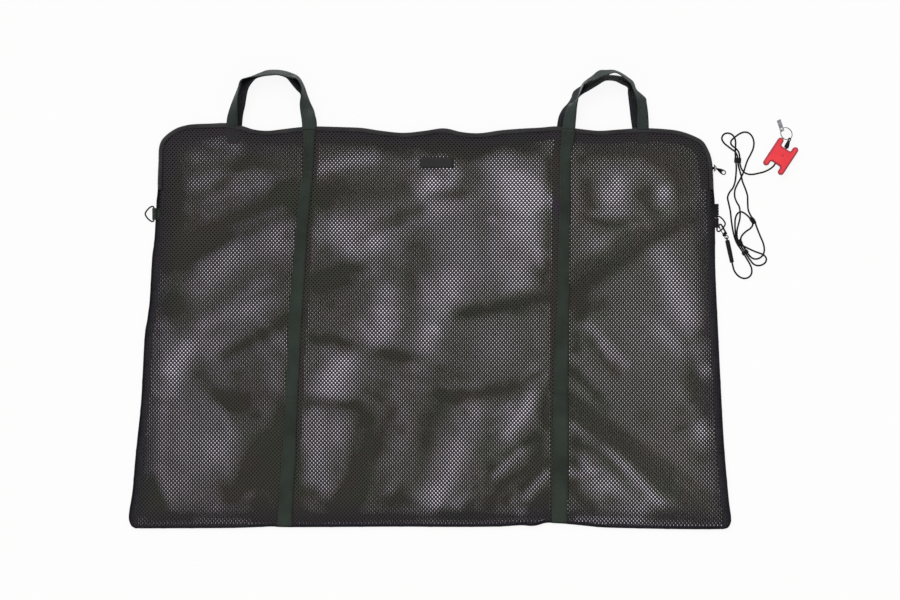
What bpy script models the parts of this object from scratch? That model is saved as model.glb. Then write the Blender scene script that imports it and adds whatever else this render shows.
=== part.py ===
"""A carp sack lying flat: mesh panels, zip, webbing straps and handles, and a float on a clipped cord.

Helper lengths are millimetres; the mesh data is in metres, +Z up, the sack resting on z = 0.
"""
import math

import bmesh
import bpy
from mathutils import Matrix, Vector

MM = 0.001
GAP = 0.3

# the bag outline
LEFT = -544.0
RIGHT = 567.0
TOP = 343.0
SACK_HEIGHT = 802.1
BOTTOM = TOP - SACK_HEIGHT
RADIUS_LEFT = 62.0
RADIUS_RIGHT = 80.0
FLARE_LEFT = 58.0
FLARE_RIGHT = 35.0
ZIP_END_Y = 219.5

# sheet thicknesses and the stack of layers at the top rim
FABRIC = 0.8
WEBBING = 1.6
WEBBING_WIDTH = 30.0
CHAIN_HALF = 1.3
CHAIN_HEIGHT = 2.75
SLIT = 1.1
TAPE_DEPTH = 14.0
PANEL_INSET = 5.8
SEAM_OUT = 6.0
SEAM_IN = 22.0

BACK_TAPE_Z = WEBBING + GAP + FABRIC / 2
CHAIN_BACK_Z = BACK_TAPE_Z + FABRIC / 2 + GAP + CHAIN_HEIGHT / 2
CHAIN_FRONT_Z = CHAIN_BACK_Z + CHAIN_HEIGHT + SLIT
FRONT_TAPE_Z = CHAIN_FRONT_Z + CHAIN_HEIGHT / 2 + GAP + FABRIC / 2
SLIT_Z = CHAIN_BACK_Z + CHAIN_HEIGHT / 2 + SLIT / 2
FRONT_RIM_Z = FRONT_TAPE_Z - FABRIC - GAP
BACK_RIM_Z = BACK_TAPE_Z + FABRIC + GAP
STRAP_RIM_Z = FRONT_TAPE_Z + FABRIC / 2 + GAP + WEBBING / 2
SEAM_Z = BACK_TAPE_Z + FABRIC / 2 + GAP + WEBBING / 2
FRONT_FLAT_Z = SEAM_Z + WEBBING / 2 + GAP + FABRIC / 2
STRAP_FLAT_Z = FRONT_FLAT_Z + FABRIC / 2 + GAP + WEBBING / 2
BACK_STRAP_Z = WEBBING / 2

# handle hinge lines
FRONT_HINGE_Y = TOP - 3.0
BACK_HINGE_Y = TOP + 1.5
HINGE_SPACE = 0.15

# where the straps and the outer handle ends meet the rim, in from the sides
STRAP_LEFT_IN = 304.0
STRAP_RIGHT_IN = 287.4
HANDLE_LEFT_IN = 149.0
HANDLE_RIGHT_IN = 143.0
BACK_STRAP_SHIFT = 10.0
BACK_END_SHIFT_LEFT = 19.0
BACK_END_SHIFT_RIGHT = 18.0
HANDLE_REACH = 110.0
SEWN_END = 28.0

# cord and its fittings
CORD_RADIUS = 1.5
SLEEVE_RADIUS = 4.2
RING_WIRE = 1.5
RING_BAR_OUT = 6.0
RING_BAR_Z = 3.8
TAB_OUTER = 3.4
TAB_BORE = 2.1
FLOAT_THICKNESS = 12.0
FLOAT_END = 6.0
FLOAT_BAR = 26.05
FLOAT_PITCH = 17.5
FLOAT_WEB = 18.0

WEBBING_GREEN = (0.028, 0.047, 0.036)
MESH_BLACK = (0.030, 0.027, 0.028)
TAPE_BLACK = (0.036, 0.033, 0.034)
CORD_BLACK = (0.012, 0.012, 0.013)
METAL = (0.45, 0.45, 0.47)
DARK_METAL = (0.06, 0.06, 0.065)
FLOAT_RED = (0.88, 0.055, 0.07)
RUBBER = (0.014, 0.014, 0.015)


def start_clean():
    for item in list(bpy.data.objects):
        bpy.data.objects.remove(item, do_unlink=True)
    parts = bpy.data.collections.new("carp_sack")
    cutters = bpy.data.collections.new("cutters")
    bpy.context.scene.collection.children.link(parts)
    bpy.context.scene.collection.children.link(cutters)
    return parts, cutters


PARTS, CUTTERS = start_clean()


def point(x, y, z):
    return Vector((x * MM, y * MM, z * MM))


def finish(name, data, colour, metallic=0.0, roughness=0.8):
    """Name the object, give it a material of its own and put it in the part's collection."""
    item = bpy.data.objects.new(name, data)
    material = bpy.data.materials.new(name + "_material")
    material.use_nodes = True
    shader = material.node_tree.nodes["Principled BSDF"]
    shader.inputs["Base Color"].default_value = (*colour, 1.0)
    shader.inputs["Metallic"].default_value = metallic
    shader.inputs["Roughness"].default_value = roughness
    data.materials.append(material)
    PARTS.objects.link(item)
    return item


def helper(item):
    """Keep a shape that only cuts or joins another out of the rendered part."""
    for holder in list(item.users_collection):
        holder.objects.unlink(item)
    CUTTERS.objects.link(item)
    item.hide_render = True
    item.display_type = "WIRE"
    return item


def solidify(item, thickness):
    """Give the sheet its thickness, half on each side."""
    layer = item.modifiers.new("thickness", "SOLIDIFY")
    layer.thickness = thickness * MM
    layer.offset = 0.0
    return item


def sheet(name, rows, thickness, colour, closed=False, **finish_options):
    """Make a sheet from rows of points, each row as long as the next."""
    mesh = bpy.data.meshes.new(name)
    width = len(rows[0])
    corners = []
    for row in rows:
        corners.extend(point(*place) for place in row)
    faces = []
    row_count = len(rows) if closed else len(rows) - 1
    for row in range(row_count):
        after = (row + 1) % len(rows)
        for column in range(width - 1):
            first = row * width + column
            second = after * width + column
            faces.append((first, first + 1, second + 1, second))
    mesh.from_pydata(corners, [], faces)
    mesh.update()
    return solidify(finish(name, mesh, colour, **finish_options), thickness)


def tube(name, places, radius, colour, closed=False, sides=2, **finish_options):
    """Make a round wire or cord along a list of points."""
    data = bpy.data.curves.new(name, "CURVE")
    data.dimensions = "3D"
    data.resolution_u = 1
    data.render_resolution_u = 0
    data.bevel_depth = radius * MM
    data.bevel_resolution = sides
    data.use_fill_caps = True
    spline = data.splines.new("POLY")
    spline.points.add(len(places) - 1)
    for spot, place in zip(spline.points, places):
        spot.co = (*(Vector(place) * MM), 1.0)
    spline.use_cyclic_u = closed
    return finish(name, data, colour, **finish_options)


def as_mesh(item):
    """Turn a wire into a plain mesh, ready to be cut or joined."""
    graph = bpy.context.evaluated_depsgraph_get()
    mesh = bpy.data.meshes.new_from_object(item.evaluated_get(graph))
    shape = bmesh.new()
    shape.from_mesh(mesh)
    bmesh.ops.remove_doubles(shape, verts=shape.verts, dist=1e-6)
    bmesh.ops.recalc_face_normals(shape, faces=shape.faces)
    shape.to_mesh(mesh)
    shape.free()
    name = item.name
    curve = item.data
    collection = item.users_collection[0]
    bpy.data.objects.remove(item, do_unlink=True)
    bpy.data.curves.remove(curve)
    solid = bpy.data.objects.new(name, mesh)
    collection.objects.link(solid)
    return solid


def axes(centre, along, up=(0.0, 0.0, 1.0)):
    """Return a frame at centre: x is along, z as near to up as it can be; lengths in mm."""
    x = Vector(along).normalized()
    y = Vector(up).cross(x).normalized()
    z = x.cross(y)
    turn = Matrix((x, y, z)).transposed().to_4x4()
    turn.translation = Vector(centre)
    return turn


def block(name, low, high, frame, colour=METAL, **finish_options):
    """Make a box from its low and high corners in a frame."""
    mesh = bpy.data.meshes.new(name)
    shape = bmesh.new()
    bmesh.ops.create_cube(shape, size=1.0)
    for corner in shape.verts:
        place = Vector([low[i] + (corner.co[i] + 0.5) * (high[i] - low[i]) for i in range(3)])
        corner.co = (frame @ place) * MM
    shape.to_mesh(mesh)
    shape.free()
    return finish(name, mesh, colour, **finish_options)


def turned(name, profile, frame, sides=20, colour=METAL, **finish_options):
    """Turn (distance along x, radius) pairs round the frame's x axis; a radius of 0 closes an end."""
    mesh = bpy.data.meshes.new(name)
    shape = bmesh.new()
    rings = []
    for along, radius in profile:
        if radius == 0.0:
            rings.append([shape.verts.new((frame @ Vector((along, 0.0, 0.0))) * MM)])
            continue
        ring = []
        for step in range(sides):
            angle = math.tau * step / sides
            place = Vector((along, radius * math.cos(angle), radius * math.sin(angle)))
            ring.append(shape.verts.new((frame @ place) * MM))
        rings.append(ring)
    for first, second in zip(rings, rings[1:]):
        for step in range(sides):
            after = (step + 1) % sides
            if len(first) == 1:
                shape.faces.new((first[0], second[step], second[after]))
            elif len(second) == 1:
                shape.faces.new((first[step], second[0], first[after]))
            else:
                shape.faces.new((first[step], second[step], second[after], first[after]))
    bmesh.ops.recalc_face_normals(shape, faces=shape.faces)
    shape.to_mesh(mesh)
    shape.free()
    return finish(name, mesh, colour, **finish_options)


def rod(name, start, end, radius, sides=16, **finish_options):
    """Make a plain round bar between two points."""
    direction = Vector(end) - Vector(start)
    up = (0.0, 0.0, 1.0) if abs(direction.normalized().z) < 0.9 else (1.0, 0.0, 0.0)
    frame = axes(start, direction, up)
    reach = direction.length
    return turned(name, ((0, 0), (0, radius), (reach, radius), (reach, 0)), frame, sides, **finish_options)


def circle(centre, normal, radius, steps=28):
    """Return the points of a circle about a normal."""
    up = (0.0, 0.0, 1.0) if abs(Vector(normal).normalized().z) < 0.9 else (1.0, 0.0, 0.0)
    frame = axes(centre, normal, up)
    places = []
    for step in range(steps):
        angle = math.tau * step / steps
        places.append(frame @ Vector((0.0, radius * math.cos(angle), radius * math.sin(angle))))
    return places


def ring(name, centre, normal, radius, wire, colour=METAL, steps=28, sides=1, **finish_options):
    return tube(name, circle(centre, normal, radius, steps), wire, colour, True, sides, **finish_options)


def combine(item, others, operation="UNION"):
    """Join the other shapes to the item, or cut them out of it."""
    for other in others:
        if other.type == "CURVE":
            other = as_mesh(other)
        helper(other)
        change = item.modifiers.new(other.name, "BOOLEAN")
        change.operation = operation
        change.solver = "EXACT"
        change.object = other
    return item


def hinge_at(item, place):
    """Put the object's origin on its joint axis without moving its shape."""
    origin = Vector(place) * MM
    if item.type == "CURVE":
        for spline in item.data.splines:
            for spot in spline.points:
                spot.co = (*(Vector(spot.co[:3]) - origin), 1.0)
    else:
        item.data.transform(Matrix.Translation(-origin))
    item.location = origin
    return item


def smoothstep(value):
    value = min(max(value, 0.0), 1.0)
    return value * value * (3.0 - 2.0 * value)


def flare(y):
    return min(max((ZIP_END_Y - y) / (ZIP_END_Y - BOTTOM), 0.0), 1.0)


def corner_cut(y, radius):
    """How far a rounded top corner has moved the side in at this height."""
    rise = y - (TOP - radius)
    if rise <= 0.0:
        return 0.0
    return radius - math.sqrt(max(radius * radius - rise * rise, 0.0))


def side_left(y):
    return LEFT + corner_cut(y, RADIUS_LEFT) - FLARE_LEFT * flare(y) ** 1.3


def side_right(y):
    return RIGHT - corner_cut(y, RADIUS_RIGHT) + FLARE_RIGHT * flare(y) ** 1.7


def zip_path():
    """Points of the bag's rim from one end of the zip to the other, each with its outward normal."""
    path = [((LEFT, ZIP_END_Y), (-1.0, 0.0))]
    for step in range(11):
        angle = math.pi - math.pi / 2 * step / 10
        out = (math.cos(angle), math.sin(angle))
        centre = (LEFT + RADIUS_LEFT, TOP - RADIUS_LEFT)
        path.append(((centre[0] + RADIUS_LEFT * out[0], centre[1] + RADIUS_LEFT * out[1]), out))
    for step in range(13):
        angle = math.pi / 2 - math.pi / 2 * step / 12
        out = (math.cos(angle), math.sin(angle))
        centre = (RIGHT - RADIUS_RIGHT, TOP - RADIUS_RIGHT)
        path.append(((centre[0] + RADIUS_RIGHT * out[0], centre[1] + RADIUS_RIGHT * out[1]), out))
    path.append(((RIGHT, ZIP_END_Y), (1.0, 0.0)))
    return path


def along_zip(name, near, far, height, thickness, colour):
    """A strip that follows the zip, between two depths inside the rim."""
    rows = []
    for (x, y), out in zip_path():
        row = []
        for depth in (near, far):
            row.append((x - out[0] * depth, y - out[1] * depth, height))
        rows.append(row)
    return sheet(name, rows, thickness, colour)


def rim_distance(x, y):
    """Distance from the zip, inward, in plan."""
    if y < ZIP_END_Y:
        below = ZIP_END_Y - y
        ends = min(math.hypot(x - LEFT, below), math.hypot(RIGHT - x, below))
        return min(ends, TOP - y)
    if x < LEFT + RADIUS_LEFT and y > TOP - RADIUS_LEFT:
        return RADIUS_LEFT - math.hypot(x - LEFT - RADIUS_LEFT, y - TOP + RADIUS_LEFT)
    if x > RIGHT - RADIUS_RIGHT and y > TOP - RADIUS_RIGHT:
        return RADIUS_RIGHT - math.hypot(x - RIGHT + RADIUS_RIGHT, y - TOP + RADIUS_RIGHT)
    return min(x - LEFT, RIGHT - x, TOP - y)


def front_height(x, y):
    fall = smoothstep(rim_distance(x, y) / 90.0)
    return FRONT_RIM_Z + (FRONT_FLAT_Z - FRONT_RIM_Z) * fall


def back_height(x, y):
    fall = smoothstep((rim_distance(x, y) - 16.0) / 14.0)
    return BACK_RIM_Z + (BACK_TAPE_Z - BACK_RIM_Z) * fall


def strap_height(y):
    fall = smoothstep((TOP - y - 16.0) / 74.0)
    return STRAP_RIM_Z + (STRAP_FLAT_Z - STRAP_RIM_Z) * fall


PANEL_TOP = TOP - PANEL_INSET
PANEL_ROWS = (
    PANEL_TOP, PANEL_TOP - 0.8, PANEL_TOP - 3.0, PANEL_TOP - 7.0, PANEL_TOP - 12.0, TOP - 25.0,
    TOP - 33.0, TOP - 44.0, TOP - 56.0, TOP - 68.0, TOP - 82.0, TOP - 100.0,
    ZIP_END_Y, ZIP_END_Y - 8.0, ZIP_END_Y - 16.0, ZIP_END_Y - 28.0, ZIP_END_Y - 45.0,
    ZIP_END_Y - 66.0, ZIP_END_Y - 95.0, 60.0, -80.0, -230.0, -360.0, BOTTOM,
)


def panel(name, height, columns):
    """A mesh panel, drawn row by row between the two sides."""
    rows = []
    for y in PANEL_ROWS:
        inset = PANEL_INSET * smoothstep((y - ZIP_END_Y + 8.0) / 8.0)
        if y > TOP - RADIUS_RIGHT:
            rise = y - (TOP - RADIUS_RIGHT)
            reach = RADIUS_RIGHT - PANEL_INSET
            right = RIGHT - RADIUS_RIGHT + math.sqrt(max(reach * reach - rise * rise, 0.0))
        else:
            right = side_right(y) - inset
        if y > TOP - RADIUS_LEFT:
            rise = y - (TOP - RADIUS_LEFT)
            reach = RADIUS_LEFT - PANEL_INSET
            left = LEFT + RADIUS_LEFT - math.sqrt(max(reach * reach - rise * rise, 0.0))
        else:
            left = side_left(y) + inset
        rows.append([(left + (right - left) * share, y, height(left + (right - left) * share, y))
                     for share in columns])
    return sheet(name, rows, FABRIC, MESH_BLACK)


FRONT_COLUMNS = (0.0, 0.008, 0.02, 0.035, 0.055, 0.08, 0.12, 0.25, 0.38, 0.5, 0.62, 0.75,
                 0.88, 0.92, 0.945, 0.965, 0.98, 0.992, 1.0)
BACK_COLUMNS = (0.0, 0.010, 0.015, 0.02, 0.027, 0.035, 0.3, 0.5, 0.7, 0.965, 0.973, 0.98, 0.985, 0.990, 1.0)

back_panel = panel("back_panel", back_height, BACK_COLUMNS)
front_panel = panel("front_panel", front_height, FRONT_COLUMNS)

along_zip("zip_tape_back", 0.0, TAPE_DEPTH + CHAIN_HALF, BACK_TAPE_Z, FABRIC, TAPE_BLACK)
along_zip("zip_tape_front", 0.0, TAPE_DEPTH + CHAIN_HALF, FRONT_TAPE_Z, FABRIC, TAPE_BLACK)
along_zip("zip_chain_back", 0.0, 2 * CHAIN_HALF, CHAIN_BACK_Z, CHAIN_HEIGHT, CORD_BLACK)
along_zip("zip_chain_front", 0.0, 2 * CHAIN_HALF, CHAIN_FRONT_Z, CHAIN_HEIGHT, CORD_BLACK)


def seam_band():
    """The binding between the two panels, down one side, along the bottom and up the other."""
    rows = []
    top = ZIP_END_Y - 34.0
    heights = [top - (top - BOTTOM) * step / 10 for step in range(10)]
    for y in heights:
        rows.append([(side_left(y) + SEAM_OUT, y, SEAM_Z), (side_left(y) + SEAM_IN, y, SEAM_Z)])
    for inset_left in (True, False):
        row = []
        for inset in (SEAM_OUT, SEAM_IN):
            y = BOTTOM + inset
            x = side_left(y) + inset if inset_left else side_right(y) - inset
            row.append((x, y, SEAM_Z))
        rows.append(row)
    for y in reversed(heights):
        rows.append([(side_right(y) - SEAM_OUT, y, SEAM_Z), (side_right(y) - SEAM_IN, y, SEAM_Z)])
    return sheet("seam_tape", rows, WEBBING, TAPE_BLACK)


seam_band()


def strap(name, centre, start_y, end_y, height, width=WEBBING_WIDTH):
    """A webbing strap down the bag; centre gives its middle line as (x, y) points."""
    rows = []
    heights = [start_y] + [y for y in PANEL_ROWS if end_y < y < start_y] + [end_y]
    for y in heights:
        x = centre[-1][0]
        for (x0, y0), (x1, y1) in zip(centre, centre[1:]):
            if y1 <= y <= y0:
                x = x0 + (x1 - x0) * (y0 - y) / (y0 - y1)
        if y > centre[0][1]:
            x = centre[0][0]
        rows.append([(x - width / 2, y, height(y)), (x + width / 2, y, height(y))])
    return sheet(name, rows, WEBBING, WEBBING_GREEN)


FRONT_LEFT_ROOT = LEFT + STRAP_LEFT_IN
FRONT_RIGHT_ROOT = RIGHT - STRAP_RIGHT_IN
FRONT_LEFT_LINE = ((FRONT_LEFT_ROOT, FRONT_HINGE_Y), (FRONT_LEFT_ROOT - 0.04 * SACK_HEIGHT, TOP - 0.43 * SACK_HEIGHT),
                   (FRONT_LEFT_ROOT - 0.061 * SACK_HEIGHT, BOTTOM))
FRONT_RIGHT_LINE = ((FRONT_RIGHT_ROOT, FRONT_HINGE_Y),
                    (FRONT_RIGHT_ROOT - 0.0195 * SACK_HEIGHT, TOP - 0.465 * SACK_HEIGHT),
                    (FRONT_RIGHT_ROOT - 0.025 * SACK_HEIGHT, BOTTOM))
BACK_LEFT_LINE = tuple((x + BACK_STRAP_SHIFT, y) for x, y in FRONT_LEFT_LINE)
BACK_RIGHT_LINE = tuple((x - BACK_STRAP_SHIFT, y) for x, y in FRONT_RIGHT_LINE)
FRONT_LEFT_END = LEFT + HANDLE_LEFT_IN
BACK_LEFT_END = FRONT_LEFT_END + BACK_END_SHIFT_LEFT
FRONT_RIGHT_END = RIGHT - HANDLE_RIGHT_IN
BACK_RIGHT_END = FRONT_RIGHT_END - BACK_END_SHIFT_RIGHT
STRAP_FOOT = BOTTOM + 2.0


def flat_back(y):
    return BACK_STRAP_Z


strap("strap_front_left", FRONT_LEFT_LINE, FRONT_HINGE_Y - HINGE_SPACE, STRAP_FOOT, strap_height)
strap("strap_front_right", FRONT_RIGHT_LINE, FRONT_HINGE_Y - HINGE_SPACE, STRAP_FOOT, strap_height)
strap("strap_back_left", BACK_LEFT_LINE, BACK_HINGE_Y - HINGE_SPACE, STRAP_FOOT, flat_back)
strap("strap_back_right", BACK_RIGHT_LINE, BACK_HINGE_Y - HINGE_SPACE, STRAP_FOOT, flat_back)
for end_name, end_x, hinge_y, end_height in (
        ("handle_end_front_left", FRONT_LEFT_END, FRONT_HINGE_Y, strap_height),
        ("handle_end_front_right", FRONT_RIGHT_END, FRONT_HINGE_Y, strap_height),
        ("handle_end_back_left", BACK_LEFT_END, BACK_HINGE_Y, flat_back),
        ("handle_end_back_right", BACK_RIGHT_END, BACK_HINGE_Y, flat_back)):
    strap(end_name, ((end_x, hinge_y), (end_x, hinge_y - SEWN_END)), hinge_y - HINGE_SPACE,
          hinge_y - SEWN_END, end_height)


def smooth(places, steps):
    """Points of a smooth curve through the places, steps to each gap."""
    result = []
    last = len(places) - 1
    for index in range(last):
        before = places[max(index - 1, 0)]
        first = places[index]
        second = places[index + 1]
        after = places[min(index + 2, last)]
        for step in range(steps):
            t = step / steps
            result.append(tuple(
                0.5 * (2 * b + (c - a) * t + (2 * a - 5 * b + 4 * c - d) * t * t
                       + (3 * b - a - 3 * c + d) * t ** 3)
                for a, b, c, d in zip(before, first, second, after)))
    result.append(tuple(places[-1]))
    return result


def handle(name, legs, shares, hinge_y, hinge_z):
    """A webbing handle between two legs; each place is shares of the span, reach and rim lift, and a tilt."""
    first, second = legs
    root = hinge_y + HINGE_SPACE
    places = [(first + (second - first) * across, root + HANDLE_REACH * out, RIM_LIFT * up, tilt)
              for across, out, up, tilt in shares]
    line = smooth(places, 3)
    rows = []
    for index, (x, y, lift, tilt) in enumerate(line):
        before = line[max(index - 1, 0)]
        after = line[min(index + 1, len(line) - 1)]
        travel = Vector((after[0] - before[0], after[1] - before[1], 0.0)).normalized()
        if index == 0:
            travel = Vector((0.0, 1.0, 0.0))
        if index == len(line) - 1:
            travel = Vector((0.0, -1.0, 0.0))
        turn = math.radians(tilt)
        across = Vector((-travel.y, travel.x, 0.0)) * math.cos(turn) + Vector((0.0, 0.0, math.sin(turn)))
        centre = Vector((x, y, BACK_STRAP_Z + WEBBING_WIDTH / 2 * math.sin(turn) + lift))
        rows.append([tuple(centre + across * WEBBING_WIDTH * share) for share in (-0.5, 0.0, 0.5)])
    item = sheet(name, rows, WEBBING, WEBBING_GREEN)
    return hinge_at(item, ((first + second) / 2, hinge_y, hinge_z))


RIM_LIFT = STRAP_RIM_Z - BACK_STRAP_Z
FRONT_HINGE_Z = STRAP_RIM_Z + WEBBING / 2
handle("handle_front_left", (FRONT_LEFT_ROOT, FRONT_LEFT_END), (
    (-0, 0, 1, 0), (0.0065, 0.1441, 1, 2), (0.0194, 0.3214, 0.955, 6), (0.0645, 0.5941, 0.636, 24),
    (0.1419, 0.8305, 0.318, 50), (0.3097, 0.985, 0.136, 60), (0.5161, 1.0014, 0.136, 60),
    (0.7226, 0.9077, 0.273, 50), (0.8581, 0.7123, 0.636, 30), (0.9419, 0.435, 0.955, 10),
    (0.9871, 0.1441, 1, 2), (1, 0, 1, 0),
), FRONT_HINGE_Y, FRONT_HINGE_Z)
handle("handle_back_left", (FRONT_LEFT_ROOT + BACK_STRAP_SHIFT, BACK_LEFT_END), (
    (-0, 0, 0, 0), (0.0137, 0.1214, 0, 2), (0.0411, 0.2805, 0, 8), (0.1233, 0.5168, 0, 27),
    (0.2329, 0.7259, 0, 50), (0.4041, 0.9032, 0, 60), (0.6096, 0.9214, 0, 60), (0.8082, 0.8214, 0, 50),
    (0.9178, 0.6305, 0, 30), (0.9658, 0.3759, 0, 10), (0.9932, 0.1214, 0, 2), (1, 0, 0, 0),
), BACK_HINGE_Y, WEBBING)
handle("handle_front_right", (FRONT_RIGHT_END, FRONT_RIGHT_ROOT), (
    (-0, 0, 1, 0), (-0, 0.1623, 1, 2), (0.0069, 0.3441, 0.955, 8), (0.0693, 0.6168, 0.682, 28),
    (0.2078, 0.8532, 0.318, 52), (0.4017, 0.9895, 0.182, 62), (0.5956, 0.9895, 0.318, 58),
    (0.7618, 0.8441, 0.682, 42), (0.9072, 0.6168, 0.955, 24), (0.9695, 0.3805, 1, 8), (0.9903, 0.1623, 1, 2),
    (1, 0, 1, 0),
), FRONT_HINGE_Y, FRONT_HINGE_Z)
handle("handle_back_right", (BACK_RIGHT_END, FRONT_RIGHT_ROOT - BACK_STRAP_SHIFT), (
    (-0, 0, 0, 0), (0.0073, 0.1395, 0, 2), (0.0147, 0.3395, 0, 9), (0.066, 0.5577, 0, 28),
    (0.1833, 0.7214, 0, 50), (0.3592, 0.8486, 0, 60), (0.5279, 0.8305, 0, 56), (0.7185, 0.7123, 0, 42),
    (0.9018, 0.5305, 0, 24), (0.9751, 0.3214, 0, 8), (0.9934, 0.1214, 0, 2), (1, 0, 0, 0),
), BACK_HINGE_Y, WEBBING)


def label_patch():
    """A small blank label sewn on the front."""
    rows = []
    for y in (283.5, 273.5, 263.5):
        z = front_height(0.0, y) + FABRIC / 2 + GAP + 0.5
        rows.append([(-20.0, y, z), (46.0, y, z)])
    return sheet("label", rows, 0.8, CORD_BLACK)


label_patch()


def web_tab(name, y_low, y_high, out, edge, loop=True):
    """Webbing folded round a ring's bar, its tail sewn between the panels; out is the way outward."""
    bar_x = edge + out * RING_BAR_OUT
    middle = (bar_x, (y_low + y_high) / 2, RING_BAR_Z)
    half = (y_high - y_low) / 2
    frame = axes(middle, (0.0, 1.0, 0.0))
    item = turned(name, ((-half, 0), (-half, TAB_OUTER), (half, TAB_OUTER), (half, 0)), frame, 24,
                  WEBBING_GREEN)
    tail_in = edge - out * 4.6
    tail_out = bar_x - out * (TAB_BORE + 0.6)
    low = (min(tail_in, tail_out), y_low + 0.001, SEAM_Z - WEBBING / 2)
    high = (max(tail_in, tail_out), y_high - 0.001, SEAM_Z + WEBBING / 2)
    combine(item, [block(name + "_tail", low, high, Matrix.Identity(4))])
    reach = half + 2.0
    bore = turned(name + "_bore", ((-reach, 0), (-reach, TAB_BORE), (reach, TAB_BORE), (reach, 0)), frame, 24)
    return combine(item, [bore], "DIFFERENCE")


RING_LEFT_Y = 171.5
RING_RIGHT_Y = 151.5
EDGE_LEFT = side_left(RING_LEFT_Y)
EDGE_RIGHT = side_right(RING_RIGHT_Y)
web_tab("ring_tab_left", RING_LEFT_Y - 12.0, RING_LEFT_Y + 12.0, -1.0, EDGE_LEFT)
web_tab("ring_tab_right", RING_RIGHT_Y - 8.0, RING_RIGHT_Y + 12.0, 1.0, EDGE_RIGHT)
web_tab("zip_end_tab", RING_RIGHT_Y + 17.5, RING_RIGHT_Y + 38.0, 1.0, EDGE_RIGHT)

RING_SHAPE = ((0.0, 12.0), (0.8, 14.1), (2.9, 15.1), (6.0, 14.2), (10.5, 10.8), (14.5, 6.2), (16.8, 2.2))


def d_ring(name, bar_x, middle_y, out, raised):
    """A pointed D-ring of round wire, turned up about its bar by so many degrees."""
    turn = math.radians(raised)
    outline = [(0.0, -12.0), (0.0, 12.0)] + list(RING_SHAPE[1:]) + [(17.3, 0.0)]
    outline += [(reach, -side) for reach, side in reversed(RING_SHAPE[1:])]
    places = [(bar_x + out * reach * math.cos(turn), middle_y + side, RING_BAR_Z + reach * math.sin(turn))
              for reach, side in outline]
    item = tube(name, places, RING_WIRE, DARK_METAL, True, 2, metallic=1.0, roughness=0.35)
    return hinge_at(item, (bar_x, middle_y, RING_BAR_Z))


RING_RAISED = 25.0
BAR_RIGHT_X = EDGE_RIGHT + RING_BAR_OUT
d_ring("d_ring_left", EDGE_LEFT - RING_BAR_OUT, RING_LEFT_Y, -1.0, 0.0)
d_ring("d_ring_right", BAR_RIGHT_X, RING_RIGHT_Y, 1.0, RING_RAISED)

# the zip slider sits where the right corner begins, so it can follow that corner's arc
SLIDER_Y = TOP - RADIUS_RIGHT
SLIDER = axes((RIGHT - CHAIN_HALF, SLIDER_Y, SLIT_Z), (1.0, 0.0, 0.0))
PLATE_NEAR = CHAIN_HALF + 0.5
PLATE_FAR = PLATE_NEAR + 1.5
BRIDGE_BAR = PLATE_FAR + 2.6


def zip_slider():
    """One body: a plate outside the chain, a plate inside it, a thin post in the slit and a bridge."""
    item = block("zip_slider", (PLATE_NEAR, -7.0, -5.4), (PLATE_FAR, 7.0, 5.4), SLIDER, DARK_METAL,
                 metallic=1.0, roughness=0.4)
    inner = block("slider_inner_plate", (-3.3, -6.0, -3.0), (-CHAIN_HALF - 0.5, 6.0, 3.0), SLIDER)
    post = block("slider_post", (-3.0, -3.0, -0.25), (PLATE_NEAR + 0.7, 3.0, 0.25), SLIDER)
    pillars = []
    for side in (-1.0, 1.0):
        low = (PLATE_FAR - 0.5, side * 3.6 - 0.7, -1.2)
        high = (BRIDGE_BAR + 1.15, side * 3.6 + 0.7, 1.2)
        pillars.append(block("slider_pillar", low, high, SLIDER))
    bar = rod("slider_bar", SLIDER @ Vector((BRIDGE_BAR, -3.4, 0.0)), SLIDER @ Vector((BRIDGE_BAR, 3.4, 0.0)),
              0.9)
    combine(item, [post, inner] + pillars + [bar])
    return hinge_at(item, (RIGHT - RADIUS_RIGHT, SLIDER_Y, SLIT_Z))


zip_slider()


def zip_puller():
    """A small eye round the slider's bar, a tapered tab and an open end."""
    pivot = SLIDER @ Vector((BRIDGE_BAR, 0.0, 0.0))
    eye = axes(pivot, (0.0, 1.0, 0.0))
    item = turned("zip_puller", ((-0.9, 0), (-0.9, 2.35), (0.9, 2.35), (0.9, 0)), eye, 24, DARK_METAL,
                  metallic=1.0, roughness=0.4)
    tab = axes(pivot, (0.862, -0.507, 0.0))
    outline = ((1.8, 1.1), (4.5, 1.3), (7.5, 2.6), (11.5, 4.4), (15.0, 4.6), (17.8, 3.6), (19.0, 1.8))
    mesh = bpy.data.meshes.new("puller_tab")
    shape = bmesh.new()
    loop = [(x, y) for x, y in outline] + [(x, -y) for x, y in reversed(outline)]
    low = [shape.verts.new((tab @ Vector((x, y, -0.9))) * MM) for x, y in loop]
    high = [shape.verts.new((tab @ Vector((x, y, 0.9))) * MM) for x, y in loop]
    shape.faces.new(low)
    shape.faces.new(high)
    for index in range(len(loop)):
        after = (index + 1) % len(loop)
        shape.faces.new((low[index], low[after], high[after], high[index]))
    bmesh.ops.recalc_face_normals(shape, faces=shape.faces)
    shape.to_mesh(mesh)
    shape.free()
    body = finish("puller_tab", mesh, DARK_METAL)
    hole = rod("puller_hole", tab @ Vector((13.8, 0.0, -3.0)), tab @ Vector((13.8, 0.0, 3.0)), 2.4)
    bore = rod("puller_bore", eye @ Vector((-3.0, 0.0, 0.0)), eye @ Vector((3.0, 0.0, 0.0)), 1.3, 24)
    combine(item, [body])
    combine(item, [hole, bore], "DIFFERENCE")
    return hinge_at(item, pivot)


zip_puller()

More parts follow.
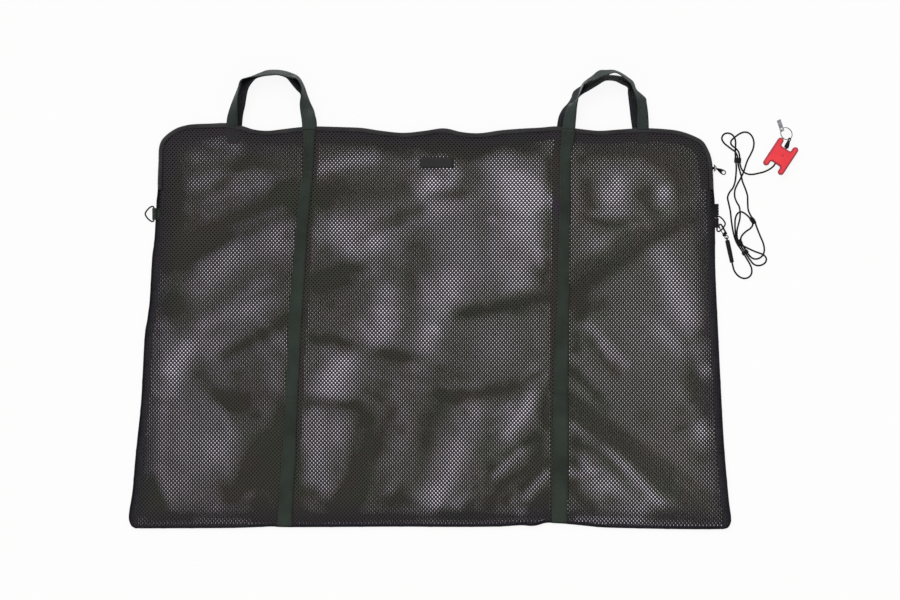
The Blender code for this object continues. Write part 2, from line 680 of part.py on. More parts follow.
# the snap hook: u runs from its swivel to its nose, v from its gate to its spine
SNAP_TURN = math.radians(120.0)
SNAP_PITCH = math.radians(10.0)
SNAP_ROLL = math.radians(-45.0)
wire_reach = 10.8
SNAP_CENTRE = Vector((BAR_RIGHT_X + wire_reach * math.cos(math.radians(RING_RAISED)), RING_RIGHT_Y - 10.8,
                      RING_BAR_Z + wire_reach * math.sin(math.radians(RING_RAISED))))
SNAP_U = Vector((math.cos(SNAP_TURN) * math.cos(SNAP_PITCH), math.sin(SNAP_TURN) * math.cos(SNAP_PITCH),
                 math.sin(SNAP_PITCH)))
level = Vector((SNAP_U.y, -SNAP_U.x, 0.0)).normalized()
SNAP_V = level * math.cos(SNAP_ROLL) + level.cross(SNAP_U) * math.sin(SNAP_ROLL)
SNAP_W = SNAP_U.cross(SNAP_V)
SNAP = Matrix((SNAP_U, SNAP_V, SNAP_W)).transposed().to_4x4()
SNAP.translation = SNAP_CENTRE
SPINE = 4.9
SPINE_WIRE = 1.9
GATE_WIRE = 1.0
BASE_NEAR = -9.0
BASE_FAR = -14.0
STUD_BORE = 1.6


def snap_point(u, v, w=0.0):
    return SNAP @ Vector((u, v, w))


def snap_hook():
    item = block("snap_hook", (BASE_FAR, -6.2, -2.2), (BASE_NEAR, 5.9, 2.2), SNAP, METAL, metallic=1.0,
                 roughness=0.3)
    line = [(-11.0, SPINE), (-6.0, SPINE), (0.0, SPINE), (5.0, SPINE)]
    for step in range(1, 9):
        angle = math.pi * step / 8
        line.append((6.0 + 4.9 * math.sin(angle), SPINE * math.cos(angle)))
    line.append((5.4, -SPINE))
    hook = tube("snap_spine", [snap_point(u, v) for u, v in line], SPINE_WIRE, METAL, False, 2)
    bore = rod("snap_bore", snap_point(BASE_FAR - 3.0, 0.0), snap_point(BASE_NEAR + 3.0, 0.0), STUD_BORE)
    combine(item, [hook])
    combine(item, [bore], "DIFFERENCE")
    return hinge_at(item, snap_point(BASE_FAR - 4.6, 0.0))


snap_hook()
GATE_START = BASE_NEAR + 0.4
gate = rod("snap_gate", snap_point(GATE_START, -SPINE), snap_point(4.9, -SPINE), GATE_WIRE, 12,
           metallic=1.0, roughness=0.3)
hinge_at(gate, snap_point(GATE_START, -SPINE))

SWIVEL_EYE = -18.6


def snap_swivel():
    """A headed stud through the snap's base, with the eye that the cord's sleeve hangs on."""
    start = SWIVEL_EYE + 2.7
    profile = ((start, 0), (start, 1.9), (BASE_FAR - 0.35, 1.9), (BASE_FAR - 0.35, 1.2),
               (BASE_NEAR + 0.35, 1.2), (BASE_NEAR + 0.35, 2.4), (BASE_NEAR + 1.4, 2.4), (BASE_NEAR + 1.4, 0))
    item = turned("snap_swivel", profile, SNAP, 20, METAL, metallic=1.0, roughness=0.3)
    normal = level.cross(SNAP_U)
    eye = ring("swivel_eye", snap_point(SWIVEL_EYE, 0.0), normal, 3.4, 0.95, METAL, 24)
    return combine(item, [eye])


snap_swivel()

EYE_CENTRE = snap_point(SWIVEL_EYE, 0.0)
SLEEVE_END = Vector((603.7, 74.4, 4.6))
SLEEVE_ALONG = (SLEEVE_END - EYE_CENTRE).normalized()


def cord_sleeve():
    """A rubber sleeve over the cord's end, moulded with the loop that hangs in the swivel's eye."""
    frame = axes(EYE_CENTRE, SLEEVE_ALONG)
    reach = (SLEEVE_END - EYE_CENTRE).length
    loop_at = 3.4 + 3.3 - 0.95 - 1.25 - 0.4
    body_from = loop_at + 2.6
    profile = ((body_from, 0), (body_from, 2.6), (body_from + 3.0, 3.6), (body_from + 10.0, SLEEVE_RADIUS),
               (reach - 8.0, SLEEVE_RADIUS), (reach - 1.0, 3.4), (reach, 2.9), (reach, 0))
    item = turned("cord_sleeve", profile, frame, 20, RUBBER)
    side = Vector((0.0, 0.0, 1.0)).cross(SLEEVE_ALONG).normalized()
    loop = ring("sleeve_loop", frame @ Vector((loop_at, 0.0, 0.0)), side, 3.3, 1.25, RUBBER, 24)
    bore = rod("sleeve_bore", frame @ Vector((reach - 8.0, 0.0, 0.0)), frame @ Vector((reach + 2.0, 0.0, 0.0)),
               CORD_RADIUS + 0.35)
    combine(item, [loop])
    return combine(item, [bore], "DIFFERENCE")


cord_sleeve()

CORD_ROUTE = (
    (605.4, 67.1, 4.0), (608.4, 57.9, 2.4), (615.2, 48.7, 1.8),
    (625.0, 43.1, 1.8), (635.2, 43.9, 1.8), (642.2, 50.7, 1.8), (643.2, 61.1, 1.8),
    (639.6, 71.1, 1.8), (634.0, 80.7, 1.8), (628.0, 90.7, 2.9), (621.4, 101.1, 2.9),
    (615.0, 110.3, 2.2), (610.6, 119.7, 1.8), (607.8, 129.1, 1.8), (605.0, 141.5, 1.8),
    (602.4, 159.5, 1.8), (600.4, 177.5, 1.8), (597.2, 192.5, 1.8), (595.0, 204.3, 1.8),
    (598.8, 214.7, 1.8), (606.0, 224.3, 1.8), (610.2, 237.5, 1.8), (611.8, 251.5, 1.8),
    (612.4, 264.5, 2.3), (611.4, 277.5, 2.9), (610.4, 289.9, 2.4), (610.6, 302.5, 1.8),
    (611.0, 315.5, 1.8), (608.4, 324.7, 1.8), (602.4, 331.1, 1.8), (594.0, 333.1, 1.8),
    (586.6, 329.9, 1.8), (583.4, 322.1, 1.8), (587.6, 313.7, 1.8), (595.0, 307.1, 2.6),
    (602.4, 301.1, 4.9), (609.8, 295.5, 5.9), (614.2, 287.5, 3.8), (615.2, 278.7, 2.9),
    (616.4, 268.7, 3.2), (619.0, 258.3, 4.7), (621.8, 247.5, 5.7), (624.8, 235.5, 4.2),
    (630.2, 222.5, 1.8), (634.6, 208.5, 1.8), (635.2, 193.5, 1.8), (636.4, 179.5, 1.8),
    (642.0, 166.9, 1.8), (649.0, 156.3, 1.8), (653.8, 143.5, 1.8), (659.6, 128.7, 1.8),
    (666.0, 113.5, 1.8), (668.4, 100.7, 1.8), (666.0, 90.1, 1.8), (658.4, 83.1, 1.8),
    (649.2, 81.5, 1.8), (641.2, 85.5, 2.2), (634.4, 94.3, 2.9), (628.0, 104.7, 2.9),
    (622.6, 114.3, 2.1), (621.4, 122.7, 1.8), (624.8, 129.7, 1.8), (632.0, 136.7, 1.8),
    (639.6, 141.9, 1.8), (644.8, 148.3, 1.8), (644.4, 155.9, 1.8), (639.8, 162.9, 1.8),
    (633.6, 169.1, 1.8), (626.8, 173.9, 3.4), (620.0, 175.7, 5.3), (613.8, 171.1, 3.4),
    (610.4, 161.5, 1.8), (609.8, 150.5, 1.8), (610.0, 140.5, 3.4), (610.8, 130.5, 5.2),
    (613.2, 120.7, 5.4), (617.8, 113.1, 5.9), (624.4, 108.3, 6.2), (631.6, 104.7, 5.8),
    (639.6, 100.9, 3.2), (650.0, 96.3, 1.8), (658.8, 93.1, 3.6), (666.4, 89.7, 5.4),
    (672.0, 83.1, 4.0), (670.8, 75.1, 2.2), (663.6, 69.7, 1.8), (654.4, 68.3, 1.8),
    (646.8, 71.5, 1.8), (641.8, 77.3, 1.8), (637.4, 83.1, 2.2), (631.2, 92.7, 2.9),
    (624.6, 102.9, 2.9), (618.6, 112.3, 2.2), (614.8, 121.5, 1.8), (613.6, 131.5, 1.8),
    (614.4, 141.5, 1.8), (617.2, 152.3, 1.8), (619.6, 163.5, 1.8), (620.0, 175.1, 1.8),
    (618.0, 186.7, 1.8), (612.4, 196.7, 1.8), (609.0, 207.9, 1.8), (610.0, 220.3, 1.8),
    (614.8, 231.5, 1.8), (620.0, 240.7, 1.8), (624.4, 249.5, 1.8), (628.0, 258.3, 1.8),
    (631.0, 267.9, 1.8), (634.8, 278.7, 1.8), (641.2, 291.1, 1.8), (646.2, 302.7, 1.8),
    (647.6, 314.7, 1.8), (644.4, 325.7, 1.8), (637.6, 333.1, 1.8), (628.4, 335.1, 1.8),
    (618.8, 331.7, 3.4), (609.4, 324.9, 5.4), (603.0, 319.1, 3.6), (601.2, 313.1, 2.6),
    (604.4, 307.5, 3.8), (610.8, 302.7, 5.4), (616.4, 295.9, 4.4), (618.8, 287.5, 3.2),
    (619.0, 278.3, 2.9), (620.2, 269.1, 3.4), (623.2, 260.3, 4.9), (628.4, 254.1, 5.4),
    (636.4, 250.9, 4.0), (646.0, 250.7, 2.4), (656.0, 252.7, 1.8), (667.2, 255.5, 2.6),
    (678.4, 260.7, 4.8), (686.4, 267.1, 6.0), (690.4, 272.8, 6.0), (700.2, 286.7, 6.0),
)


def thin_out(line, tolerance):
    """Drop the points of a line that it can do without to this tolerance."""
    keep = [False] * len(line)
    keep[0] = keep[-1] = True
    todo = [(0, len(line) - 1)]
    while todo:
        start, end = todo.pop()
        first = Vector(line[start])
        span = Vector(line[end]) - first
        worst = 0.0
        where = None
        for index in range(start + 1, end):
            offset = Vector(line[index]) - first
            share = min(max(offset.dot(span) / max(span.length_squared, 1e-12), 0.0), 1.0)
            miss = (offset - span * share).length
            if miss > worst:
                worst = miss
                where = index
        if where is not None and worst > tolerance:
            keep[where] = True
            todo += [(start, where), (where, end)]
    return [place for place, kept in zip(line, keep) if kept]


# the cord starts inside the sleeve and ends inside the bead beyond the float
FLOAT_CENTRE = Vector((700.8, 286.5, 6.0))
FLOAT_BORE = Vector((0.577, 0.817, 0.0)).normalized()
BEAD_START = Vector((710.9, 301.6, 6.0))
BEAD_ALONG = Vector((0.361, 0.932, 0.10)).normalized()
sleeve_inside = tuple(SLEEVE_END - SLEEVE_ALONG * 7.0)
bead_inside = tuple(BEAD_START + BEAD_ALONG * 6.0)
whole = smooth((sleeve_inside, tuple(SLEEVE_END)) + CORD_ROUTE + (tuple(BEAD_START), bead_inside), 10)
LEAD_END = 10 * 9
HANK_END = 10 * 129


def cord(name, places, cut_start, cut_end):
    """A length of the cord; a cut end stops short of the next length by half the gap."""
    line = [Vector(place) for place in thin_out(places, 0.12)]
    if cut_start:
        line[0] = line[0] + (line[1] - line[0]).normalized() * GAP / 2
    if cut_end:
        line[-1] = line[-1] + (line[-2] - line[-1]).normalized() * GAP / 2
    return tube(name, line, CORD_RADIUS, CORD_BLACK, False, 2)


cord("cord_lead", whole[:LEAD_END + 1], False, True)
cord("cord_hank", whole[LEAD_END:HANK_END + 1], True, True)
cord("cord_tail", whole[HANK_END:], True, False)


def hank_tie(name, middle, along, half_width, low, high):
    """A flat band round the gathered strands."""
    across = Vector((-along[1], along[0], 0.0)).normalized()
    run = Vector((along[0], along[1], 0.0)).normalized()
    radius = (high - low) / 2
    rows = []
    for step in range(20):
        angle = math.tau * step / 20
        sideways = math.cos(angle)
        shift = half_width - radius
        reach = (shift if sideways > 0.01 else -shift if sideways < -0.01 else 0.0) + radius * sideways
        place = Vector((middle[0], middle[1], (low + high) / 2 + radius * math.sin(angle))) + across * reach
        rows.append([tuple(place - run * 2.5), tuple(place + run * 2.5)])
    return sheet(name, rows, 0.8, RUBBER, closed=True)


hank_tie("hank_tie_upper", (615.1, 278.6), (0.05, 1.0), 6.5, 0.75, 5.3)
hank_tie("hank_tie_lower", (629.9, 94.3), (-0.553, 0.833), 6.4, 0.75, 5.3)


def outline_solid(name, outline, frame, low, high, colour):
    """Extrude a flat outline in a frame."""
    mesh = bpy.data.meshes.new(name)
    shape = bmesh.new()
    bottom = [shape.verts.new((frame @ Vector((x, y, low))) * MM) for x, y in outline]
    top = [shape.verts.new((frame @ Vector((x, y, high))) * MM) for x, y in outline]
    shape.faces.new(bottom)
    shape.faces.new(top)
    for index in range(len(outline)):
        after = (index + 1) % len(outline)
        shape.faces.new((bottom[index], bottom[after], top[after], top[index]))
    bmesh.ops.recalc_face_normals(shape, faces=shape.faces)
    shape.to_mesh(mesh)
    shape.free()
    return finish(name, mesh, colour)


def h_float():
    """A foam float in the shape of an H, with a bore for the cord and two notches."""
    angle = math.radians(56.8)
    frame = axes(FLOAT_CENTRE, (math.cos(angle), math.sin(angle), 0.0))
    quarter = []
    for step in range(7):
        turn = math.pi / 2 - math.pi / 2 * step / 6
        quarter.append((FLOAT_BAR + FLOAT_END * math.cos(turn), FLOAT_PITCH + FLOAT_END * math.sin(turn)))
    for step in range(1, 7):
        turn = -math.pi / 2 * step / 6
        quarter.append((FLOAT_BAR + FLOAT_END * math.cos(turn), FLOAT_PITCH + FLOAT_END * math.sin(turn)))
    inner = FLOAT_PITCH - FLOAT_END
    quarter += [(FLOAT_WEB + 2.5, inner), (FLOAT_WEB + 0.7, inner - 0.7), (FLOAT_WEB, inner - 2.5)]
    outline = quarter + [(x, -y) for x, y in reversed(quarter)]
    outline += [(-x, -y) for x, y in quarter] + [(-x, y) for x, y in reversed(quarter)]
    half = FLOAT_THICKNESS / 2
    item = outline_solid("float", outline, frame, -half, half, FLOAT_RED)
    edge = item.modifiers.new("rounding", "BEVEL")
    edge.width = 1.6 * MM
    edge.segments = 2
    edge.limit_method = "ANGLE"
    edge.angle_limit = math.radians(60.0)
    bore_middle = FLOAT_CENTRE + Vector((-0.6, 0.2, 0.0))
    bore = rod("float_bore", bore_middle - FLOAT_BORE * 30.0, bore_middle + FLOAT_BORE * 30.0,
               CORD_RADIUS + 0.45)
    return combine(item, [bore], "DIFFERENCE")


h_float()

SPLIT_CENTRE = Vector((712.0, 331.7, 7.6))
SPLIT_SLOPE = (-0.419, -0.30)
SPLIT_RADIUS = 12.8
SPLIT_WIRE = 0.9
split_normal = Vector((-SPLIT_SLOPE[0], -SPLIT_SLOPE[1], 1.0)).normalized()


def on_split_ring(x, y):
    """The point of the tilted split ring in this direction from its centre, and the wire's direction."""
    reach = Vector((x, y, SPLIT_SLOPE[0] * x + SPLIT_SLOPE[1] * y)).normalized()
    return SPLIT_CENTRE + reach * SPLIT_RADIUS, split_normal.cross(reach).normalized()


def float_bead():
    """The bead that stops the cord above the float, with a small loop for the split ring."""
    hold, wire = on_split_ring(0.466, -0.884)
    side = (wire - BEAD_ALONG * wire.dot(BEAD_ALONG)).normalized()
    loop_centre = hold - BEAD_ALONG * 0.7
    along = (loop_centre - BEAD_START).normalized()
    reach = (loop_centre - BEAD_START).length - 2.8
    frame = axes(BEAD_START, along)
    profile = ((1.5, 0), (1.5, 3.7), (2.8, 4.3), (7.5, 4.3), (12.0, 3.2), (reach, 2.2), (reach, 0))
    item = turned("float_bead", profile, frame, 20, RUBBER)
    loop = ring("bead_loop", loop_centre, side, 3.1, 1.0, RUBBER, 20)
    bore = rod("bead_bore", frame @ Vector((-2.0, 0.0, 0.0)), frame @ Vector((7.5, 0.0, 0.0)),
               CORD_RADIUS + 0.4)
    combine(item, [loop])
    return combine(item, [bore], "DIFFERENCE")


float_bead()

split_hold, split_wire = on_split_ring(0.466, -0.884)
split_ring = ring("split_ring", SPLIT_CENTRE, split_normal, SPLIT_RADIUS, SPLIT_WIRE, METAL, 40, 2,
                  metallic=1.0, roughness=0.25)
hinge_at(split_ring, split_hold)

TAG_HOLE = 2.6


def tag_plate():
    """A plain metal tag hanging on the split ring."""
    hold, wire = on_split_ring(-0.74, 0.675)
    along = Vector((-0.28, 0.92, -0.24)).normalized()
    best = (wire - along * wire.dot(along)).normalized()
    other = along.cross(best)
    if other.z < 0.0:
        other = -other
    normal = (other * 0.6 - best * 0.8).normalized()
    frame = axes(hold, along, normal)
    frame.translation = hold + along * 0.6
    half = 4.0
    outline = [(-4.0 + 0.8, -half), (-4.0, -half + 0.8), (-4.0, half - 0.8), (-4.0 + 0.8, half)]
    outline += [(20.0 - 0.8, half), (20.0, half - 0.8), (20.0, -half + 0.8), (20.0 - 0.8, -half)]
    item = outline_solid("tag", outline, frame, -0.4, 0.4, METAL)
    hole = rod("tag_hole", frame @ Vector((0.0, 0.0, -2.0)), frame @ Vector((0.0, 0.0, 2.0)), TAG_HOLE)
    combine(item, [hole], "DIFFERENCE")
    return hinge_at(item, hold)


tag_plate()


def report_joints():
    """Print the joint places that record.json repeats, in metres."""
    for label_text, place in (
            ("slider centre", Vector((RIGHT - RADIUS_RIGHT, SLIDER_Y, SLIT_Z))),
            ("puller bar", SLIDER @ Vector((BRIDGE_BAR, 0.0, 0.0))),
            ("ring left", Vector((EDGE_LEFT - RING_BAR_OUT, RING_LEFT_Y, RING_BAR_Z))),
            ("ring right", Vector((BAR_RIGHT_X, RING_RIGHT_Y, RING_BAR_Z))),
            ("gate", snap_point(GATE_START, -SPINE)), ("gate axis x1000", SNAP_W * 1000),
            ("swivel", EYE_CENTRE), ("swivel axis x1000", SNAP_U * 1000),
            ("split", split_hold), ("split axis x1000", split_wire * 1000),
            ("tag", on_split_ring(-0.74, 0.675)[0]), ("tag axis x1000", on_split_ring(-0.74, 0.675)[1] * 1000)):
        print(label_text, [round(value * MM, 5) for value in place])


report_joints()
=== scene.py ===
# A mesh carp sack laid flat, with its float on a cord that is clipped to the right-hand ring.
# Places and sizes are in millimetres here and become metres when a mesh is made.
from math import atan2, cos, dist, exp, pi, radians, sin, tanh, tau

import bmesh
import bpy
import numpy as np
from mathutils import Matrix, Vector


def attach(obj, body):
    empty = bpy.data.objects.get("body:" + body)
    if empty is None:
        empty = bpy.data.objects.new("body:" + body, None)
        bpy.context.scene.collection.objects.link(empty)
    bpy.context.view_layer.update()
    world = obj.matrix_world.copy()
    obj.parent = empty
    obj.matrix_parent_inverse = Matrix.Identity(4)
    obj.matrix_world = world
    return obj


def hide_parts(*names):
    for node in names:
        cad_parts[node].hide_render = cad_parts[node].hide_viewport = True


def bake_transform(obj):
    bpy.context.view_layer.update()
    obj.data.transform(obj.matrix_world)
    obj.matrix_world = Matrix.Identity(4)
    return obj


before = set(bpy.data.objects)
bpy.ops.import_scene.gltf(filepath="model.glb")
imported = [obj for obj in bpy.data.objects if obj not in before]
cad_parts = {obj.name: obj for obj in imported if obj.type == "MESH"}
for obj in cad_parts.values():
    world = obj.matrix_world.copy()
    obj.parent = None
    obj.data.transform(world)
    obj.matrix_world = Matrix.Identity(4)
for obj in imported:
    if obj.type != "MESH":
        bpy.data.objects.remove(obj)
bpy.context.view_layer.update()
mm = 0.001

view = {"middle": (0.040, -0.0005), "height": 6.0, "width": 1.8}      # metres


def link(name, data, material=None):
    item = bpy.data.objects.new(name, data)
    bpy.context.scene.collection.objects.link(item)
    if material:
        data.materials.clear()
        data.materials.append(material)
    return item


camera = link("camera", bpy.data.cameras.new("camera"))
camera.location = (*view["middle"], view["height"])
camera.data.lens = camera.data.sensor_width * view["height"] / view["width"]
camera.data.clip_end = 50.0
bpy.context.scene.camera = camera
bpy.context.scene.view_settings.view_transform = "Standard"
print("camera is over the sack")


def paint(code):      # an sRGB hex colour as the linear colour a shader takes
    channels = [int(code[place:place + 2], 16) / 255 for place in (1, 3, 5)]
    return (*[c / 12.92 if c <= 0.04045 else ((c + 0.055) / 1.055) ** 2.4 for c in channels], 1.0)


def addNode(tree, kind, inputs=None, **settings):      # a node with its values, links and settings
    node = tree.nodes.new(kind)
    for key, value in settings.items():
        setattr(node, key, value)
    for key, value in (inputs or {}).items():
        if isinstance(value, bpy.types.NodeSocket):
            tree.links.new(value, node.inputs[key])
        else:
            node.inputs[key].default_value = value
    return node


def startMaterial(name, **shaderInputs):      # a material with only its shader and output
    material = bpy.data.materials.new(name)
    material.use_nodes = True
    tree = material.node_tree
    tree.nodes.clear()
    shader = addNode(tree, "ShaderNodeBsdfPrincipled", {
        key.replace("_", " "): value for key, value in shaderInputs.items()})
    addNode(tree, "ShaderNodeOutputMaterial", {"Surface": shader.outputs[0]})
    return material, tree, shader


def finishMaterial(tree, shader, colour, height, relief, strength):      # relief is the bumps' height in metres
    bump = addNode(tree, "ShaderNodeBump", {"Height": height, "Distance": relief, "Strength": strength})
    tree.links.new(bump.outputs[0], shader.inputs["Normal"])
    tree.links.new(colour, shader.inputs["Base Color"])


def blendOver(tree, value, low, high, first, second):      # one colour gives way to another as a value climbs
    share = addNode(tree, "ShaderNodeMapRange", {"Value": value, "From Min": low, "From Max": high})
    mix = addNode(tree, "ShaderNodeMix", {0: share.outputs[0], 6: first, 7: second}, data_type="RGBA")
    return mix.outputs[2]


def driftingColour(tree, scale, detail, uneven, low, high, dark, pale):      # two close tones that drift about
    coords = addNode(tree, "ShaderNodeTexCoord")
    drift = addNode(tree, "ShaderNodeTexNoise", {"Vector": coords.outputs["Object"], "Scale": scale, "Detail": detail,
        "Roughness": uneven})
    return blendOver(tree, drift.outputs["Fac"], low, high, paint(dark), paint(pale))


def tintWhere(tree, attribute, ground, code):      # another colour where the mesh's attribute is high
    marked = addNode(tree, "ShaderNodeAttribute", attribute_name=attribute)
    return blendOver(tree, marked.outputs["Fac"], 0.0, 1.0, ground, paint(code))


def shadeBy(tree, ground, value, low, high, darkest, lightest):      # a pattern darkens and lightens the colour
    share = addNode(tree, "ShaderNodeMapRange", {"Value": value, "From Min": low, "From Max": high, "To Min": darkest,
        "To Max": lightest})
    shaded = addNode(tree, "ShaderNodeVectorMath", {0: ground, "Scale": share.outputs[0]}, operation="SCALE")
    return shaded.outputs[0]


# knitted polyester mesh: matt yarn, brown-olive on top, with purple-black painted shade towards the edges
# and a purple painted light where both layers' holes line up
def meshMaterial(name, warm, cool, edge, doubled, loop=0.0008):      # the knit's loops are 0.8 mm apart
    material, tree, shader = startMaterial(name, Roughness=0.78, Sheen_Weight=0.06, Sheen_Roughness=0.5,
        Specular_IOR_Level=0.12)
    ground = driftingColour(tree, 9.0, 3.0, 0.55, 0.35, 0.65, warm, cool)
    # the edge colour is painted shade near the outline; the doubled colour is painted light where the tone attribute is
    # high
    ground = tintWhere(tree, "tone", tintWhere(tree, "edge", ground, edge), doubled)
    coords = addNode(tree, "ShaderNodeTexCoord")
    loops = addNode(tree, "ShaderNodeTexNoise", {"Vector": coords.outputs["Object"], "Scale": 1.0 / loop,
        "Detail": 2.0})
    loops = loops.outputs["Fac"]
    finishMaterial(tree, shader, shadeBy(tree, ground, loops, 0.3, 0.7, 0.72, 1.3), loops, 0.0003, 0.6)
    return material


# woven polyester tape is close ribbed with a soft sheen; polypropylene webbing has flat 1.6 mm ribs crossed by
# picks that lean with them, and a painted highlight makes it paler where its tone attribute is high
tapeLook = {"roughness": 0.7, "sheen": 0.04, "specular": 0.15, "lean": 0.0, "cross": None,
    "drift": (22.0, 4.0, 0.6, 0.32, 0.68), "shade": (-1.6, 1.6, 0.8, 1.18), "relief": (0.00012, 0.7)}
webbingLook = {"roughness": 0.55, "sheen": 0.03, "specular": 0.2, "lean": 0.9, "cross": 0.6,
    "drift": (14.0, 4.0, 0.6, 0.34, 0.66), "shade": (-1.4, 1.4, 0.74, 1.22), "relief": (0.00025, 0.8)}


def wovenMaterial(name, look, rib, pick, dark, pale, highlightColour=None):      # rib and pick are spacings in metres
    material, tree, shader = startMaterial(name, Roughness=look["roughness"], Sheen_Weight=look["sheen"],
        Specular_IOR_Level=look["specular"])
    place = addNode(tree, "ShaderNodeUVMap", uv_map="along")
    split = addNode(tree, "ShaderNodeSeparateXYZ", {0: place.outputs[0]})
    ribs = addNode(tree, "ShaderNodeMath", {0: split.outputs["X"], 1: tau / rib}, operation="MULTIPLY")
    ribWave = addNode(tree, "ShaderNodeMath", {0: ribs.outputs[0]}, operation="SINE").outputs[0]
    lean = addNode(tree, "ShaderNodeMath", {0: ribWave, 1: look["lean"]}, operation="MULTIPLY")
    picks = addNode(tree, "ShaderNodeMath", {0: split.outputs["Y"], 1: tau / pick, 2: lean.outputs[0]},
        operation="MULTIPLY_ADD")
    pickWave = addNode(tree, "ShaderNodeMath", {0: picks.outputs[0]}, operation="SINE")
    weave = addNode(tree, "ShaderNodeMath", {0: pickWave.outputs[0], 1: look["cross"] or ribWave, 2: ribWave},
        operation="MULTIPLY_ADD").outputs[0]
    ground = driftingColour(tree, *look["drift"], dark, pale)
    if highlightColour:
        ground = tintWhere(tree, "tone", ground, highlightColour)
    finishMaterial(tree, shader, shadeBy(tree, ground, weave, *look["shade"]), weave, *look["relief"])
    return material


# plain dyed, moulded or plated surfaces with a fine grain: thread, coil, rubber, satin and wire
def grainMaterial(name, dark, pale, roughness, grain, relief, metallic=0.0, specular=0.5):
    material, tree, shader = startMaterial(name, Metallic=metallic, Specular_IOR_Level=specular)
    coords = addNode(tree, "ShaderNodeTexCoord").outputs["Object"]
    fine = addNode(tree, "ShaderNodeTexNoise", {"Vector": coords, "Scale": 1.0 / grain, "Detail": 3.0})
    drift = addNode(tree, "ShaderNodeTexNoise", {"Vector": coords, "Scale": 70.0, "Detail": 3.0})
    both = addNode(tree, "ShaderNodeMath", {0: fine.outputs["Fac"], 1: 0.5, 2: drift.outputs["Fac"]},
        operation="MULTIPLY_ADD")
    ground = blendOver(tree, both.outputs[0], 0.55, 0.95, paint(dark), paint(pale))
    polish = addNode(tree, "ShaderNodeMapRange", {"Value": drift.outputs["Fac"], "From Min": 0.3, "From Max": 0.7,
        "To Min": roughness - 0.08, "To Max": roughness + 0.1})
    tree.links.new(polish.outputs[0], shader.inputs["Roughness"])
    finishMaterial(tree, shader, ground, fine.outputs["Fac"], relief, 0.6)
    return material


# braided polyester cord: two families of strands crossing at 45 degrees, each strand 0.9 mm wide
def cordMaterial(name, dark, pale, strand, strandsRound):
    material, tree, shader = startMaterial(name, Roughness=0.75, Sheen_Weight=0.05, Specular_IOR_Level=0.2)
    place = addNode(tree, "ShaderNodeUVMap", uv_map="along")
    split = addNode(tree, "ShaderNodeSeparateXYZ", {0: place.outputs[0]})
    around = addNode(tree, "ShaderNodeMath", {0: split.outputs["X"], 1: tau * strandsRound}, operation="MULTIPLY")
    waves = []
    for turn in (1.0, -1.0):
        angle = addNode(tree, "ShaderNodeMath", {0: split.outputs["Y"], 1: turn * tau / (2.0 * strand),
            2: around.outputs[0]}, operation="MULTIPLY_ADD")
        waves.append(addNode(tree, "ShaderNodeMath", {0: angle.outputs[0]}, operation="SINE").outputs[0])
    weave = addNode(tree, "ShaderNodeMath", dict(enumerate(waves)), operation="MAXIMUM").outputs[0]
    ground = blendOver(tree, weave, -0.6, 1.0, paint(dark), paint(pale))
    finishMaterial(tree, shader, ground, weave, 0.00025, 0.8)
    return material


# EVA foam, cut and tumbled: closed cells of 0.7 mm, clear red, and darker on its rounded edges as painted shade
def foamMaterial(name, face, side, roundedEdgeShade):
    material, tree, shader = startMaterial(name, Roughness=0.62)
    coords = addNode(tree, "ShaderNodeTexCoord")
    cells = addNode(tree, "ShaderNodeTexVoronoi", {"Vector": coords.outputs["Object"], "Scale": 1400.0})
    ground = tintWhere(tree, "tone", driftingColour(tree, 45.0, 4.0, 0.5, 0.35, 0.7, face, side), roundedEdgeShade)
    finishMaterial(tree, shader, ground, cells.outputs["Distance"], 0.00012, 0.5)
    return material


knitFront = meshMaterial("knitted_polyester_mesh_front", "#3d3834", "#383a32", "#2c2830", "#3e3143")
# the back panel is the same knit, drawn much darker as painted shade under the front panel
knitBackShaded = meshMaterial("knitted_polyester_mesh_back", "#211e1c", "#1d1e1a", "#1b191d", "#271f2b")
bindingTape = wovenMaterial("woven_polyester_binding", tapeLook, 0.0021, 0.0021, "#17161a", "#25232a")
zipTape = wovenMaterial("woven_zip_tape", tapeLook, 0.0018, 0.0018, "#2a2829", "#3b393b")
webbing, handleWebbing, handleWebbingShaded = (      # the third copy is darker: painted shade for the back handles' unlit inner side
    wovenMaterial("polypropylene_webbing" + part, webbingLook, 0.0016, 0.0022, *colours)
    for part, colours in (("", ("#272e27", "#343d35", "#4d544c")), ("_handles_painted_highlight", ("#29322f", "#39433f", "#7c8183")),
                          ("_painted_shade", ("#1b1c21", "#26272d", "#3a3c44"))))
zipCoil = grainMaterial("nylon_zip_coil", "#141214", "#232024", 0.42, 0.0011, 0.00004)
sewingThread = grainMaterial("bonded_nylon_thread", "#1b1f1c", "#2c322d", 0.6, 0.0006, 0.00005)
labelSatin = grainMaterial("woven_label_satin", "#09090a", "#131315", 0.55, 0.0009, 0.00008)
rubber = grainMaterial("moulded_rubber", "#0a090c", "#121116", 0.6, 0.0014, 0.00005, specular=0.22)
darkSteel = grainMaterial("blackened_steel_wire", "#131317", "#202026", 0.42, 0.0008, 0.00003, 1.0)
nickelSteel = grainMaterial("nickel_plated_steel", "#8f8c98", "#a9a6b0", 0.28, 0.0009, 0.00002, 1.0)
blackNickel = grainMaterial("black_nickel_plated_zinc", "#232228", "#37363d", 0.33, 0.0009, 0.00002, 1.0)
springSteel = grainMaterial("tempered_spring_steel", "#3e3e40", "#57575a", 0.3, 0.0009, 0.00002, 1.0)
cordBraid = cordMaterial("braided_polyester_cord", "#050507", "#0d0d11", 0.0009, 5)
evaFoam = foamMaterial("cut_eva_foam", "#fa3c44", "#f0313e", "#75203c")
evaDimpleShade = foamMaterial("eva_painted_dimple_shade", "#bd2b3a", "#ac2739", "#75203c")
print("materials are mixed")


def settle(item, body, slot=None, *nodes):      # the body a piece rides on, its slot (not used) and the nodes it stands for
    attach(item, body)
    if nodes:
        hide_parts(*nodes)
    return item


def pairUp(values):      # a flat row of x, y, x, y as places
    return list(zip(values[::2], values[1::2]))


